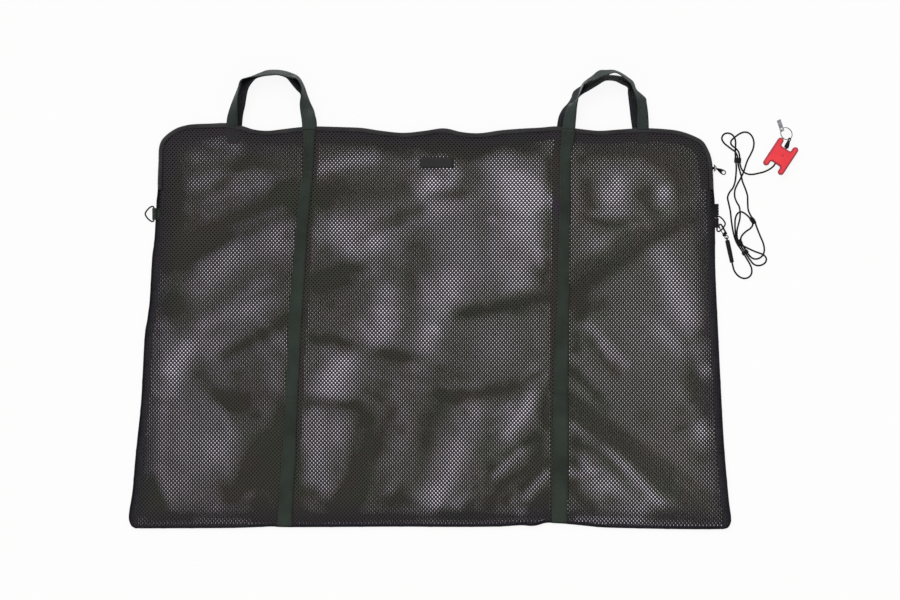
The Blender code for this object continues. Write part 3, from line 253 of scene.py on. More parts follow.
def smoothLine(places, step):      # a curve through the places, resampled to even steps
    fine = []
    last = len(places) - 1
    for index in range(last):
        before, first = places[max(index - 1, 0)], places[index]
        second, after = places[index + 1], places[min(index + 2, last)]
        for part in range(8):
            t = part / 8
            fine.append(tuple(0.5 * (
                2 * b + (c - a) * t + (2 * a - 5 * b + 4 * c - d) * t * t + (3 * b - a - 3 * c + d) * t ** 3)
                for a, b, c, d in zip(before, first, second, after)))
    fine.append(tuple(places[-1]))
    lengths = [0.0]
    for first, second in zip(fine, fine[1:]):
        lengths.append(lengths[-1] + dist(first, second))
    count = max(int(round(lengths[-1] / step)), 1)
    result = []
    place = 0
    for index in range(count + 1):
        want = lengths[-1] * index / count
        while place < len(fine) - 2 and lengths[place + 1] < want:
            place += 1
        gap = lengths[place + 1] - lengths[place]
        share = (want - lengths[place]) / gap if gap > 0 else 0.0
        result.append(tuple(a + (b - a) * share for a, b in zip(fine[place], fine[place + 1])))
    return result


def circle(centre, one, two, radius, count):      # even places round a circle that two directions span
    angles = [tau * k / count for k in range(count)]
    return [tuple(centre + one * (radius * cos(a)) + two * (radius * sin(a))) for a in angles]


def stripMesh(name, rows, closedAcross=False, tone=None):      # rows of places cross the strip; its UV map is in metres
    shape = bmesh.new()
    layer = shape.loops.layers.uv.new("along")
    toneLayer = shape.verts.layers.float.new("tone")
    grid = [[shape.verts.new([c * mm for c in place]) for place in row] for row in rows]
    if tone:
        for verts, row in zip(grid, rows):
            for vert, place in zip(verts, row):
                vert[toneLayer] = tone(place)
    count = len(rows[0])
    run, width = [0.0], [0.0]
    for first, second in zip(rows, rows[1:]):
        run.append(run[-1] + dist(first[count // 2], second[count // 2]) * mm)
    sizing = rows[len(rows) // 2]
    for index in range(count):
        width.append(width[-1] + dist(sizing[index], sizing[(index + 1) % count]) * mm)
    for low, (first, second) in enumerate(zip(grid, grid[1:])):
        for index in range(count if closedAcross else count - 1):
            after = (index + 1) % count
            face = shape.faces.new((first[index], first[after], second[after], second[index]))
            face.smooth = True
            marks = ((width[index], run[low]), (width[index + 1], run[low]), (width[index + 1], run[low + 1]),
                (width[index], run[low + 1]))
            for loop, mark in zip(face.loops, marks):
                loop[layer].uv = mark
    mesh = bpy.data.meshes.new(name)
    shape.to_mesh(mesh)
    shape.free()
    return mesh


def strip(name, rows, material, thickness=0.0, upward=True, tone=None, reverse=None):
    mesh = stripMesh(name, rows, tone=tone)
    lift = sum(face.normal.z * face.area for face in mesh.polygons)
    if (lift < 0) == upward:
        mesh.flip_normals()
    item = link(name, mesh, material)
    wall = item.modifiers.new("cloth", "SOLIDIFY")
    wall.thickness = thickness * mm
    wall.offset = 0.0
    if reverse:
        mesh.materials.append(reverse)
        wall.material_offset = 1
    return item


def finishShape(shape, mesh):      # the shape as a mesh whose faces point outwards
    bmesh.ops.recalc_face_normals(shape, faces=shape.faces)
    shape.to_mesh(mesh)
    shape.free()
    return mesh


def closeMesh(mesh, merge=False, capped=False):      # a strip joined to itself, or with its ends filled
    shape = bmesh.new()
    shape.from_mesh(mesh)
    if merge:
        bmesh.ops.remove_doubles(shape, verts=shape.verts, dist=1e-7)
    if capped:
        bmesh.ops.holes_fill(shape, edges=[edge for edge in shape.edges if edge.is_boundary])
    return finishShape(shape, mesh)


def tube(name, line, radius, material, sides=12, closed=False):      # its rings follow the line without twist
    points = [Vector(place) for place in line]
    last = len(points) - 1
    if closed:
        runs = [(points[(index + 1) % len(points)] - points[index - 1]).normalized() for index in range(last + 1)]
    else:
        runs = [(points[min(index + 1, last)] - points[max(index - 1, 0)]).normalized() for index in range(last + 1)]
    side = runs[0].cross(Vector((0.0, 0.0, 1.0)))
    if side.length < 0.1:
        side = runs[0].cross(Vector((1.0, 0.0, 0.0)))
    side.normalize()
    rows = []
    for index, (place, run) in enumerate(zip(points, runs)):
        side = (side - run * side.dot(run)).normalized()
        reach = radius(index / last) if callable(radius) else radius
        rows.append(circle(place, side, run.cross(side), reach, sides))
    if closed:
        rows.append(rows[0])
    return link(name, closeMesh(stripMesh(name, rows, closedAcross=True), merge=closed, capped=not closed), material)


def lathe(name, profile, start, along, material, sides=28, up=(0.0, 0.0, 1.0)):      # profile is (along, radius) pairs
    run = Vector(along).normalized()
    side = run.cross(Vector(up)).normalized()
    other = run.cross(side)
    shape = bmesh.new()
    rings = [[shape.verts.new(Vector(place) * mm) for place in circle(Vector(start) + run * reach, side, other,
        radius, sides if radius > 0.0 else 1)] for reach, radius in profile]
    for first, second in zip(rings, rings[1:]):
        for k in range(sides):
            after = (k + 1) % sides
            corners = list(dict.fromkeys([first[k % len(first)], first[after % len(first)],
                second[after % len(second)], second[k % len(second)]]))
            if len(corners) > 2:
                shape.faces.new(corners).smooth = True
    return link(name, finishShape(shape, bpy.data.meshes.new(name)), material)


def joinPieces(name, *items):      # several objects become one piece
    shape = bmesh.new()
    materials = []
    for item in items:
        start, before = len(materials), len(shape.faces)
        materials += list(item.data.materials)
        shape.from_mesh(item.data)
        shape.faces.ensure_lookup_table()
        for face in shape.faces[before:]:
            face.material_index += start
        bpy.data.objects.remove(item, do_unlink=True)
    mesh = bpy.data.meshes.new(name)
    shape.to_mesh(mesh)
    shape.free()
    unique = list(dict.fromkeys(materials))
    for face in mesh.polygons:
        face.material_index = unique.index(materials[face.material_index])
    for material in unique:
        mesh.materials.append(material)
    return link(name, mesh)


def startTree(name, *sizes):      # a geometry tree with named inputs for its sizes and its material
    tree = bpy.data.node_groups.new(name, "GeometryNodeTree")
    tree.interface.new_socket("Geometry", in_out="INPUT", socket_type="NodeSocketGeometry")
    for title in sizes:
        tree.interface.new_socket(title, in_out="INPUT", socket_type="NodeSocketFloat")
    tree.interface.new_socket("Material", in_out="INPUT", socket_type="NodeSocketMaterial")
    tree.interface.new_socket("Geometry", in_out="OUTPUT", socket_type="NodeSocketGeometry")
    return tree, addNode(tree, "NodeGroupInput"), addNode(tree, "NodeGroupOutput")


def endTree(tree, source, result, out):      # every tree ends in real geometry with its material
    real = addNode(tree, "GeometryNodeRealizeInstances", {0: result})
    painted = addNode(tree, "GeometryNodeSetMaterial", {0: real.outputs[0], "Material": source.outputs["Material"]})
    tree.links.new(painted.outputs[0], out.inputs[0])
    return tree


def grow(name, mesh, tree, values):      # the tree's result as a plain mesh
    item = link(name, mesh)
    change = item.modifiers.new("grown", "NODES")
    change.node_group = tree
    for socket in tree.interface.items_tree:
        if socket.item_type == "SOCKET" and socket.in_out == "INPUT" and socket.name in values:
            change[socket.identifier] = values[socket.name]
    item.update_tag()
    bpy.context.view_layer.update()
    grown = bpy.data.meshes.new_from_object(item.evaluated_get(bpy.context.evaluated_depsgraph_get()))
    item.modifiers.clear()
    item.data = grown
    bpy.data.meshes.remove(mesh)
    return item


def lineMesh(name, lines):      # open lines as loose edges, for the trees that follow a path
    mesh = bpy.data.meshes.new(name)
    verts, edges = [], []
    for line in lines:
        edges += [(len(verts) + index, len(verts) + index + 1) for index in range(len(line) - 1)]
        verts += [[c * mm for c in place] for place in line]
    mesh.from_pydata(verts, edges, [])
    return mesh


def laidAlong(tree, source, spacing, shape):      # copies of a shape laid along the path, each turned with it
    path = addNode(tree, "GeometryNodeMeshToCurve", {0: source.outputs["Geometry"]})
    spots = addNode(tree, "GeometryNodeCurveToPoints", {"Curve": path.outputs[0], "Length": source.outputs[spacing]},
        mode="LENGTH")
    turned = addNode(tree, "FunctionNodeAlignRotationToVector", {"Vector": spots.outputs["Tangent"]}, axis="X",
        pivot_axis="Z")
    return addNode(tree, "GeometryNodeInstanceOnPoints", {"Points": spots.outputs["Points"], "Instance": shape,
        "Rotation": turned.outputs[0]}).outputs[0]


def stitchTree():      # stitches: short bars laid along a line, a gap between each
    tree, source, out = startTree("stitches", "Spacing", "Length", "Thread")
    size = addNode(tree, "ShaderNodeCombineXYZ", {"X": source.outputs["Length"], "Y": source.outputs["Thread"],
        "Z": source.outputs["Thread"]})
    bar = addNode(tree, "GeometryNodeMeshCube", {"Size": size.outputs[0]})
    return endTree(tree, source, laidAlong(tree, source, "Spacing", bar.outputs["Mesh"]), out)


def coilTree():      # coil teeth: loops of monofilament side by side along the rim
    tree, source, out = startTree("coil_teeth", "Pitch", "Reach", "Wire")
    loop = addNode(tree, "GeometryNodeCurvePrimitiveCircle", {"Resolution": 8, "Radius": source.outputs["Reach"]},
        mode="RADIUS")
    section = addNode(tree, "GeometryNodeCurvePrimitiveCircle", {"Resolution": 4, "Radius": source.outputs["Wire"]},
        mode="RADIUS")
    tooth = addNode(tree, "GeometryNodeCurveToMesh", {"Curve": loop.outputs["Curve"],
        "Profile Curve": section.outputs["Curve"]})
    upright = addNode(tree, "GeometryNodeTransform", {"Geometry": tooth.outputs[0], "Rotation": (0.0, pi / 2, 0.0)})
    return endTree(tree, source, laidAlong(tree, source, "Pitch", upright.outputs[0]), out)


def meshTree():      # perforations: each hexagon between the lattice places becomes knit round an open hole
    tree, source, out = startTree("perforations", "Hole Share", "Hole Narrowing")
    cells = addNode(tree, "GeometryNodeDualMesh", {0: source.outputs["Geometry"]})
    ringed = addNode(tree, "GeometryNodeExtrudeMesh", {"Mesh": cells.outputs[0], "Offset Scale": 0.0,
        "Individual": True}, mode="FACES")
    holes = ringed.outputs["Top"]
    smaller = addNode(tree, "GeometryNodeScaleElements", {"Geometry": ringed.outputs["Mesh"], "Selection": holes,
        "Scale": source.outputs["Hole Share"]}, domain="FACE", scale_mode="UNIFORM")
    narrower = addNode(tree, "GeometryNodeScaleElements", {"Geometry": smaller.outputs["Geometry"],
        "Selection": holes, "Scale": source.outputs["Hole Narrowing"], "Axis": (1.0, 0.0, 0.0)}, domain="FACE",
        scale_mode="SINGLE_AXIS")
    opened = addNode(tree, "GeometryNodeDeleteGeometry", {"Geometry": narrower.outputs["Geometry"],
        "Selection": holes}, domain="FACE", mode="ALL")
    soft = addNode(tree, "GeometryNodeSetShadeSmooth", {"Geometry": opened.outputs[0], "Shade Smooth": True})
    return endTree(tree, source, soft.outputs[0], out)


stitches, coilTeeth, perforations = stitchTree(), coilTree(), meshTree()


def sew(name, lines, spacing=4.2, length=3.0, thread=0.55, rides=True):
    item = grow(name, lineMesh(name, lines), stitches, {"Spacing": spacing * mm, "Length": length * mm,
        "Thread": thread * mm, "Material": sewingThread})
    return settle(item, "sack") if rides else item


# the cord is a 3 mm braid, drawn a little thicker, seen from end to end, so the photo gives its whole length
cord = {"diameter": 3.5, "drawnFor": 3.0, "sides": 10, "step": 2.0, "inSleeve": 7.0, "inBead": 6.0, "lies": 1.8,
    "sleeveFrom": (592.7, 124.8, 5.1), "sleeveEnd": (603.7, 74.4, 4.6), "beadStart": (710.9, 301.6, 6.0),
    "beadAlong": (0.361, 0.932, 0.10)}
cordPlaces = [      # a place without a height lies on the floor
    (605.4, 67.1, 4.0), (608.4, 57.9, 2.4), (615.2, 48.7), (625.0, 43.1), (635.2, 43.9), (642.2, 50.7), (643.2, 61.1),
    (639.6, 71.1), (634.0, 80.7), (628.0, 90.7, 2.9), (621.4, 101.1, 2.9), (615.0, 110.3, 2.2), (610.6, 119.7),
    (607.8, 129.1), (605.0, 141.5), (602.4, 159.5), (600.4, 177.5), (597.2, 192.5), (595.0, 204.3), (598.8, 214.7),
    (606.0, 224.3), (610.2, 237.5), (611.8, 251.5), (612.4, 264.5, 2.3), (611.4, 277.5, 2.9), (610.4, 289.9, 2.4),
    (610.6, 302.5), (611.0, 315.5), (608.4, 324.7), (602.4, 331.1), (594.0, 333.1), (586.6, 329.9), (583.4, 322.1),
    (587.6, 313.7), (595.0, 307.1, 2.6), (602.4, 301.1, 4.9), (609.8, 295.5, 5.9), (614.2, 287.5, 3.8),
    (615.2, 278.7, 2.9), (616.4, 268.7, 3.2), (619.0, 258.3, 4.7), (621.8, 247.5, 5.7), (624.8, 235.5, 4.2),
    (630.2, 222.5), (634.6, 208.5), (635.2, 193.5), (636.4, 179.5), (642.0, 166.9), (649.0, 156.3), (653.8, 143.5),
    (659.6, 128.7), (666.0, 113.5), (668.4, 100.7), (666.0, 90.1), (658.4, 83.1), (649.2, 81.5), (641.2, 85.5, 2.2),
    (634.4, 94.3, 2.9), (628.0, 104.7, 2.9), (622.6, 114.3, 2.1), (621.4, 122.7), (624.8, 129.7), (632.0, 136.7),
    (639.6, 141.9), (644.8, 148.3), (644.4, 155.9), (639.8, 162.9), (633.6, 169.1), (626.8, 173.9, 3.4),
    (620.0, 175.7, 5.3), (613.8, 171.1, 3.4), (610.4, 161.5), (609.8, 150.5), (610.0, 140.5, 3.4),
    (610.8, 130.5, 5.2), (613.2, 120.7, 5.4), (617.8, 113.1, 5.9), (624.4, 108.3, 6.2), (631.6, 104.7, 5.8),
    (639.6, 100.9, 3.2), (650.0, 96.3), (658.8, 93.1, 3.6), (666.4, 89.7, 5.4), (672.0, 83.1, 4.0),
    (670.8, 75.1, 2.2), (663.6, 69.7), (654.4, 68.3), (646.8, 71.5), (641.8, 77.3), (637.4, 83.1, 2.2),
    (631.2, 92.7, 2.9), (624.6, 102.9, 2.9), (618.6, 112.3, 2.2), (614.8, 121.5), (613.6, 131.5), (614.4, 141.5),
    (617.2, 152.3), (619.6, 163.5), (620.0, 175.1), (618.0, 186.7), (612.4, 196.7), (609.0, 207.9), (610.0, 220.3),
    (614.8, 231.5), (620.0, 240.7), (624.4, 249.5), (628.0, 258.3), (631.0, 267.9), (634.8, 278.7), (641.2, 291.1),
    (646.2, 302.7), (647.6, 314.7), (644.4, 325.7), (637.6, 333.1), (628.4, 335.1), (618.8, 331.7, 3.4),
    (609.4, 324.9, 5.4), (603.0, 319.1, 3.6), (601.2, 313.1, 2.6), (604.4, 307.5, 3.8), (610.8, 302.7, 5.4),
    (616.4, 295.9, 4.4), (618.8, 287.5, 3.2), (619.0, 278.3, 2.9), (620.2, 269.1, 3.4), (623.2, 260.3, 4.9),
    (628.4, 254.1, 5.4), (636.4, 250.9, 4.0), (646.0, 250.7, 2.4), (656.0, 252.7), (667.2, 255.5, 2.6),
    (678.4, 260.7, 4.8), (686.4, 267.1, 6.0), (690.4, 272.8, 6.0), (700.2, 286.7, 6.0),
]
sleeveEnd, beadStart = Vector(cord["sleeveEnd"]), Vector(cord["beadStart"])
sleeveAlong = (sleeveEnd - Vector(cord["sleeveFrom"])).normalized()
beadAlong = Vector(cord["beadAlong"]).normalized()
cordPath = [(x, y, z + (cord["diameter"] - cord["drawnFor"]) / 2) for x, y, z in smoothLine(
    [tuple(sleeveEnd - sleeveAlong * cord["inSleeve"]), tuple(sleeveEnd)]
    + [(*place, cord["lies"])[:3] for place in cordPlaces]
    + [tuple(beadStart), tuple(beadStart + beadAlong * cord["inBead"])], cord["step"])]
floatCord = tube("floatCord", cordPath, cord["diameter"] / 2, cordBraid, cord["sides"])
settle(floatCord, "sack", "cord_braid", "cord_lead", "cord_hank", "cord_tail")

# the sack's outline as it lies: the rim from one end of the zip over the top to the other, the sides, the bottom
rimLine = pairUp((
    -544, 219.5, -543.8, 249.5, -542.4, 277.5, -541.8, 301.5, -537.4, 316.3, -529.8, 326.1, -518.4, 335.7,
    -504, 343.7, -488.6, 348.3, -473.2, 350.7, -440, 351.9, -407, 352.9, -376.2, 347.5, -352, 340.1, -324.4, 337.5,
    -292, 341.1, -256, 345.1, -226, 346.3, -180, 345.1, -136, 343.3, -100, 337.9, -54, 333.5, -12, 337.3, 28, 342.5,
    64, 334.9, 100, 332.9, 144, 338.9, 186, 342.1, 220, 343.9, 254, 346.5, 290, 342.5, 316, 339.3, 340, 337.5,
    372, 339.7, 404, 341.9, 437.2, 342.7, 477.4, 340.3, 500, 336.7, 523.4, 328.9, 544.6, 317.3, 555.8, 300.3,
    562, 283.5, 565, 263.5, 567, 219.5,
))
leftLine = pairUp((
    -544, 219.5, -547, 183.5, -550.6, 119.5, -555.2, 83.5, -560, -0.5, -565, -40.5, -570.2, -75.5, -577, -200.5,
    -584, -270.5, -589.2, -321.9, -594.2, -380.5, -601.2, -425.5, -601.2, -439.5, -596.8, -451.7, -588, -456.9,
))
rightLine = pairUp((
    567, 219.5, 568.6, 193.5, 569.6, 141.5, 569.8, 79.5, 571.2, 31.5, 575.6, -60.5, 580, -153.5, 587.6, -290.5,
    597, -398.5, 601.4, -432.5, 600.6, -446.5, 595, -455.7, 584, -458.3,
))
bottomLine = pairUp((
    -588, -456.9, -540, -456.7, -480, -456.5, -406, -456.1, -360, -454.9, -316, -453.1, -292, -454.3, -200, -454.1,
    -60, -453.3, 40, -453.9, 132, -453.3, 180, -450.7, 208, -451.7, 232, -445.7, 252, -446.5, 275, -447.9,
    310, -451.5, 352, -455.1, 440, -457.3, 520, -458.5, 584, -458.3,
))
foldLines = [      # places along each crease, then its height and its width
    (564, 215.5, 520, 191.5, 460, 155.5, 404, 123.5, 340, 83.5, 284, 47.5, 6.5, 18),
    (244, 15.5, 180, -0.5, 112, -12.5, 52, -24.5, -4, -36.5, 4.5, 18),
    (-236, -72.5, -160, -84.5, -80, -104.5, -12, -132.5, 3.5, 20),
    (-420, -192.5, -340, -190.5, -236, -192.5, -180, -198.5, -140, -208.5, 3, 16),
    (-268, -16.5, -336, -60.5, -404, -112.5, 3, 20), (-108, 79.5, -172, 35.5, -236, -0.5, 3, 18),
    (284, -176.5, 360, -236.5, 440, -300.5, 520, -368.5, 580, -432.5, 6, 18),
    (252, -208.5, 340, -272.5, 420, -340.5, 520, -416.5, 3.5, 16),
    (236, -176.5, 200, -240.5, 140, -324.5, 68, -424.5, 4.5, 18), (244, -320.5, 172, -376.5, 100, -432.5, 3, 16),
    (228, -144.5, 180, -176.5, 128, -196.5, 68, -200.5, 3.5, 18), (-370, -340.5, -336, -300.5, -290, -260.5, 2.5, 14),
    (-508, 95.5, -420, 127.5, -336, 167.5, -252, 207.5, 4, 32), (-356, 295.5, -312, 247.5, -268, 207.5, 2.5, 20),
    (-268, 295.5, -312, 247.5, -356, 207.5, 2.5, 20), (-36, 135.5, -32, 67.5, -36, -0.5, 2.5, 20),
    (-100, -240.5, -104, -320.5, -96, -400.5, 2.5, 24), (316, 239.5, 318, 169.5, 3, 14),
    (428, 239.5, 430, 169.5, 3, 14),
]
evenStrokes = [      # where both layers' holes line up (above 0) or cross (below 0): places, half width, percent
    (-215, 262, -160, 278, -100, 282, -35, 276, 16, 42), (2, 230, 26, 75),
    (150, 280, 180, 230, 192, 190, 180, 130, 52, 55), (195, 220, 40, 25), (175, 50, 34, 32),
    (220, 260, 230, 190, 14, 12), (365, 210, 365, 230, 26, 75), (466, 214, 18, 65),
    (-225, 140, -150, 140, -60, 158, 5, 182, 80, 214, 30, 42), (-115, 112, 20, 35), (-195, 132, 26, 22),
    (-95, -70, -88, 10, 24, 50), (35, 34, 25, -20, 30, 45), (50, 120, 80, 60, 50, 25), (155, 260, 150, 80, 40, 10),
    (-5, -60, -8, -90, 22, 50), (-195, -150, -180, -126, 36, 72), (-205, -260, -220, -360, 38, 62),
    (-75, -260, -60, -380, 40, 22), (80, -230, 45, -310, 5, -400, 28, 62), (205, -196, 155, -270, 16, 60),
    (180, -300, 125, -350, 9, 50), (230, -346, 190, -396, 9, 40),
    (285, -248, 335, -276, 385, -326, 430, -376, 460, -406, 10, 45), (285, -320, 340, -366, 420, -410, 26, 50),
    (542, -260, 24, 70), (455, 90, 485, 30, 510, -30, 30, 50), (465, -60, 505, -96, 24, 42), (552, -140, 13, 45),
    (410, 0, 440, -120, 60, 20), (340, 108, 26, 30), (315, -50, 365, -100, 390, -130, 10, 30),
    (-470, 284, -390, 302, 14, 22), (-475, 230, -405, 252, -355, 244, 16, 28), (-445, 174, -330, 234, 14, 32),
    (-460, 30, -385, 90, -300, 134, 28, 38), (-455, -46, -370, -16, -320, 4, 20, 42),
    (-490, -100, -515, -150, -530, -190, 24, 60), (-428, -292, 38, 40), (-500, -240, -510, -350, -430, -360, 50, 32),
    (-380, -90, -420, -150, 30, 15), (-300, 110, 30, 20), (130, -90, 50, 20), (160, 140, 60, 20),
    (-320, -260, -330, -220, 20, 10), (500, -180, 530, -220, 18, 20), (280, -120, 320, -180, 16, 18),
    (-60, 260, 20, 10), (-520, 80, -420, 128, -320, 174, -270, 192, 24, -30), (-290, 220, 26, -27),
    (-520, 220, -525, 140, 24, -21), (-515, -10, 30, -18), (-220, 210, -140, 230, -45, 230, 32, -17),
    (-60, 168, 18, -18), (-28, 100, -30, 30, 24, -18), (-225, 34, -170, 54, -120, 74, 22, -30),
    (50, -28, 140, -12, 240, 12, 15, -36), (265, 2, 340, 52, 430, 118, 490, 152, 535, 190, 17, -39),
    (-230, -76, -160, -86, -70, -112, 20, -132, 13, -27), (-245, -212, -150, -210, 12, -27),
    (20, -180, 80, -190, 150, -178, 215, -150, 16, -27), (20, -160, 20, -220, 30, -15),
    (-415, -110, -350, -76, -285, -40, 14, -25), (-465, -156, -435, -192, -380, -208, 14, -30), (-395, -206, 20, -18),
    (-300, -250, -350, -310, -375, -360, 24, -24), (-330, -380, -290, -340, 40, -21),
    (-130, -240, -150, -320, -165, -406, 22, -30), (-10, -240, -20, -360, 22, -15), (-100, -166, 22, -18),
    (210, -270, 120, -340, 75, -406, 11, -30), (240, -320, 150, -400, 12, -30), (140, -230, 100, -300, 12, -12),
    (270, -192, 380, -270, 480, -342, 570, -416, 15, -33), (285, -288, 330, -302, 370, -340, 395, -380, 8, -20),
    (275, -370, 320, -416, 14, -24), (430, 214, 20, -33), (310, 230, 315, 190, 18, -30),
    (510, 260, 530, 190, 26, -30), (305, 168, 360, 148, 410, 158, 9, -24), (550, -50, 510, -100, 530, -170, 14, -18),
    (540, -310, 20, -21), (430, -230, 20, -12), (315, -80, 370, -150, 9, -21), (310, -16, 340, -10, 16, -21),
    (210, -40, 200, -100, 14, -12), (-405, 180, -490, 164, 16, -7), (260, 260, 260, -400, 30, -6),
    (95, 250, 105, 80, 14, -12), (-280, -240, -270, -410, 26, -15), (70, -100, 30, -6), (-440, -60, -290, 50, 14, -7),
    (-245, 164, -248, 120, 16, -35), (70, 230, 34, -30), (-20, 174, 20, -15), (275, -320, 20, -40),
    (-180, -390, 26, -30), (-70, -390, 34, -30), (-60, -320, -75, -380, 30, -15), (100, -240, 50, -260, 18, -20),
    (-535, -220, -545, -380, 22, -25), (-535, -70, -530, -180, 14, -30), (280, -140, 16, -30), (120, -336, 16, -30),
    (225, -390, 200, -410, 22, -25), (-320, 10, 20, -25), (-440, 180, -360, 220, 12, -30), (-460, 190, 20, -15),
    (-370, 270, -330, 260, 24, -10), (530, 180, 545, 120, 20, -20), (-10, -280, 20, -10), (-300, -220, 20, -10),
    (-60, -60, 16, -15), (-180, -100, 22, -15), (540, -260, 20, 20), (420, 250, 24, 15), (340, 140, 16, -10),
    (-100, 110, 24, 25), (-460, -80, -430, -90, 24, 25), (-340, -390, 20, 15), (-120, -180, 22, 12),
    (-220, -180, -160, -180, 14, 15), (210, -30, 210, -90, 12, 20), (80, -180, 20, -5), (535, -50, 14, 20),
    (440, 80, 450, 40, 20, -10), (290, 230, 300, 180, 14, 10), (-490, 50, 30, -10), (-360, 330, -260, 324, 14, -20),
    (-220, 328, -120, 324, -10, 316, 16, -25), (-90, 296, -50, 276, 20, -20), (20, 310, 140, 316, 200, 310, 26, -50),
    (80, 294, 180, 300, 20, -25), (296, 320, 390, 316, 480, 320, 18, -30),
    (450, 300, 520, 300, 556, 260, 572, 200, 22, -25), (234, 280, 238, 220, 234, 150, 228, 60, 10, -40),
    (130, 150, 164, 96, 24, -30), (-116, 148, -70, 168, -20, 184, 11, -30), (4, 206, 60, 206, 11, -25),
    (-210, 200, -210, 100, 12, -15), (290, 56, 350, 96, 412, 132, 15, -35), (296, 20, 296, -32, 14, -30),
    (540, 100, 548, 0, 546, -40, 12, -25), (476, -50, 506, -82, 13, -25), (520, -170, 540, -220, 530, -260, 20, -40),
    (284, -234, 320, -260, 380, -300, 440, -340, 524, -414, 13, -45), (288, -280, 292, -360, 11, -30),
    (360, -390, 412, -394, 16, -20), (-230, -380, -210, -310, -200, -230, 15, -30),
    (-116, -310, -90, -250, -74, -220, 15, -28), (50, -260, 10, -360, 13, -15), (52, -200, 14, -20),
    (222, -200, 12, -30), (220, -280, 200, -320, 9, -20), (116, -406, 12, -30), (-460, -364, -390, -384, 24, -20),
    (-560, -400, -528, -412, 16, -25), (-170, -100, -220, -124, 13, -15), (-430, 228, -390, 258, 9, -15),
    (-320, 120, -368, 100, 13, -15), (370, 0, 40, -8), (-534, -60, -530, -140, 16, 50),
    (-536, -220, -540, -330, 14, 36), (-160, 100, -116, 74, 20, 42), (-136, -50, -116, -90, 15, 35),
    (-64, -50, 10, 25), (-36, -130, 20, -124, 14, 28), (-390, 138, -296, 182, 14, 20), (-450, 198, -388, 216, 9, 15),
    (-350, 30, 12, 22), (-340, -40, -290, -90, 14, 20), (-460, -160, -410, -240, -396, -272, 10, 25),
    (-10, 40, 2, 0, 12, 20), (10, -56, 8, 20), (50, 10, 10, 20), (-80, -380, 10, 25), (-234, -220, 8, 20),
    (20, -170, 42, -182, 8, 20), (162, -222, 120, -262, 6, 25), (104, -350, 96, -382, 6, 30), (170, -384, 8, 35),
    (320, 170, 390, 176, 8, 22), (200, -170, 230, -150, 8, 25), (440, 100, 420, 0, 460, -120, 46, -13),
    (364, -90, 420, -160, 30, -10), (180, 270, 230, 244, 16, -25), (320, 296, 420, 296, 484, 260, 500, 200, 14, -25),
    (356, 236, 14, -15), (450, 170, 14, -15), (170, 170, 180, 120, 18, -20), (-60, 156, -24, 168, 10, -20),
    (-290, 130, 12, -25), (290, -150, 330, -190, 11, -25), (230, -210, 14, -25), (70, -224, 14, -25),
    (60, -280, 20, -360, 14, -15), (140, -370, 116, -410, 11, -20), (-190, -340, 12, -20),
    (-250, -380, -210, -410, -160, -430, 14, -20), (20, -420, 100, -430, 14, -15), (420, -390, 14, -15),
    (540, -430, 16, -25), (-70, -260, -90, -300, 12, -15), (310, -300, 340, -360, 12, -15),
    (520, -90, 540, -140, 16, -12), (550, -260, 12, -20), (-540, -60, 12, -20), (-480, 184, -430, 188, 16, 15),
    (-340, 250, -296, 244, 13, 20), (-150, 240, -80, 236, 20, 12), (-460, 70, -390, 110, 16, 15), (-330, 40, 18, 15),
    (-360, -30, -430, -100, 18, 12), (-316, -90, 14, 12), (-476, -160, -436, -240, 13, 15),
    (-240, -220, -200, -220, 16, 20), (-90, -40, -50, -80, 18, 14), (-110, 56, -140, 48, 13, 20),
    (-20, -140, 80, -170, 16, 10), (150, 20, 190, 34, 10, 20), (-10, 30, -10, -20, 13, 14), (70, 0, 13, 12),
    (230, 90, 9, 35), (406, 148, 9, 25), (126, 156, 11, 20), (210, -140, 9, 20), (-430, 310, 14, 12),
    (-70, -190, -60, -220, 14, 15), (-90, 280, -40, 284, 14, -25), (140, 270, 164, 264, 14, -20), (300, 280, 12, -25),
    (356, 240, 364, 210, 12, -25), (420, 244, 10, -20), (216, 170, 9, -25), (450, 156, 8, -20),
    (210, 60, 226, 36, 11, -25), (-290, 124, 10, -15), (190, -24, 220, -24, 9, -15), (290, -100, 10, -20),
    (50, -150, 70, -160, 11, -15), (220, -220, 230, -250, 12, -30), (150, -280, 180, -260, 10, -15),
    (70, -230, 76, -280, 12, -20), (-190, -300, -200, -360, 12, -25), (-60, -260, 12, -20),
    (0, -400, 20, -420, 12, -25), (-300, -430, -280, -400, 14, -20), (-550, -200, -520, -204, 12, -25),
    (-570, -420, 12, -20), (-530, -320, -500, -340, 14, -12), (-360, -350, 14, -15), (500, -220, 14, -15),
    (560, -250, 9, -25), (540, -430, 570, -430, 12, -20), (420, -340, 460, -380, 16, -20), (320, -260, 10, -15),
    (340, -340, 14, -15), (220, -300, 210, -340, 9, -25), (-20, 140, -90, 156, 10, -15), (10, 210, 80, 216, 12, -20),
    (-410, 260, -380, 264, 12, -20), (-200, 250, 10, -15), (-470, -40, -430, -24, 12, -15), (-390, -150, 12, -15),
    (-230, -140, -190, -136, 12, -15), (20, 280, 50, 250, 40, 236, 13, 50), (-40, 240, -20, 210, 11, 20),
    (-390, 230, -370, 220, 13, 22), (-410, 140, -280, 190, 14, 18), (240, 200, 260, 170, 10, 30), (210, 320, 11, 25),
    (-160, 50, 9, 20), (-70, 110, -60, 80, 14, 15), (-290, -50, 9, 15), (-170, -70, -130, -96, 11, 20),
    (10, -60, 9, 25), (-120, -20, -60, -24, 10, 15), (180, -160, 210, -130, 9, 20), (160, -210, 130, -230, 9, 30),
    (-240, -180, -170, -196, 10, 20), (-250, -240, -250, -290, 9, 20), (-540, -350, -520, -410, 12, 25),
    (-370, -390, 10, 18), (-70, -360, -90, -384, 11, 20), (80, -390, 50, -410, 11, 30), (164, -400, 9, 30),
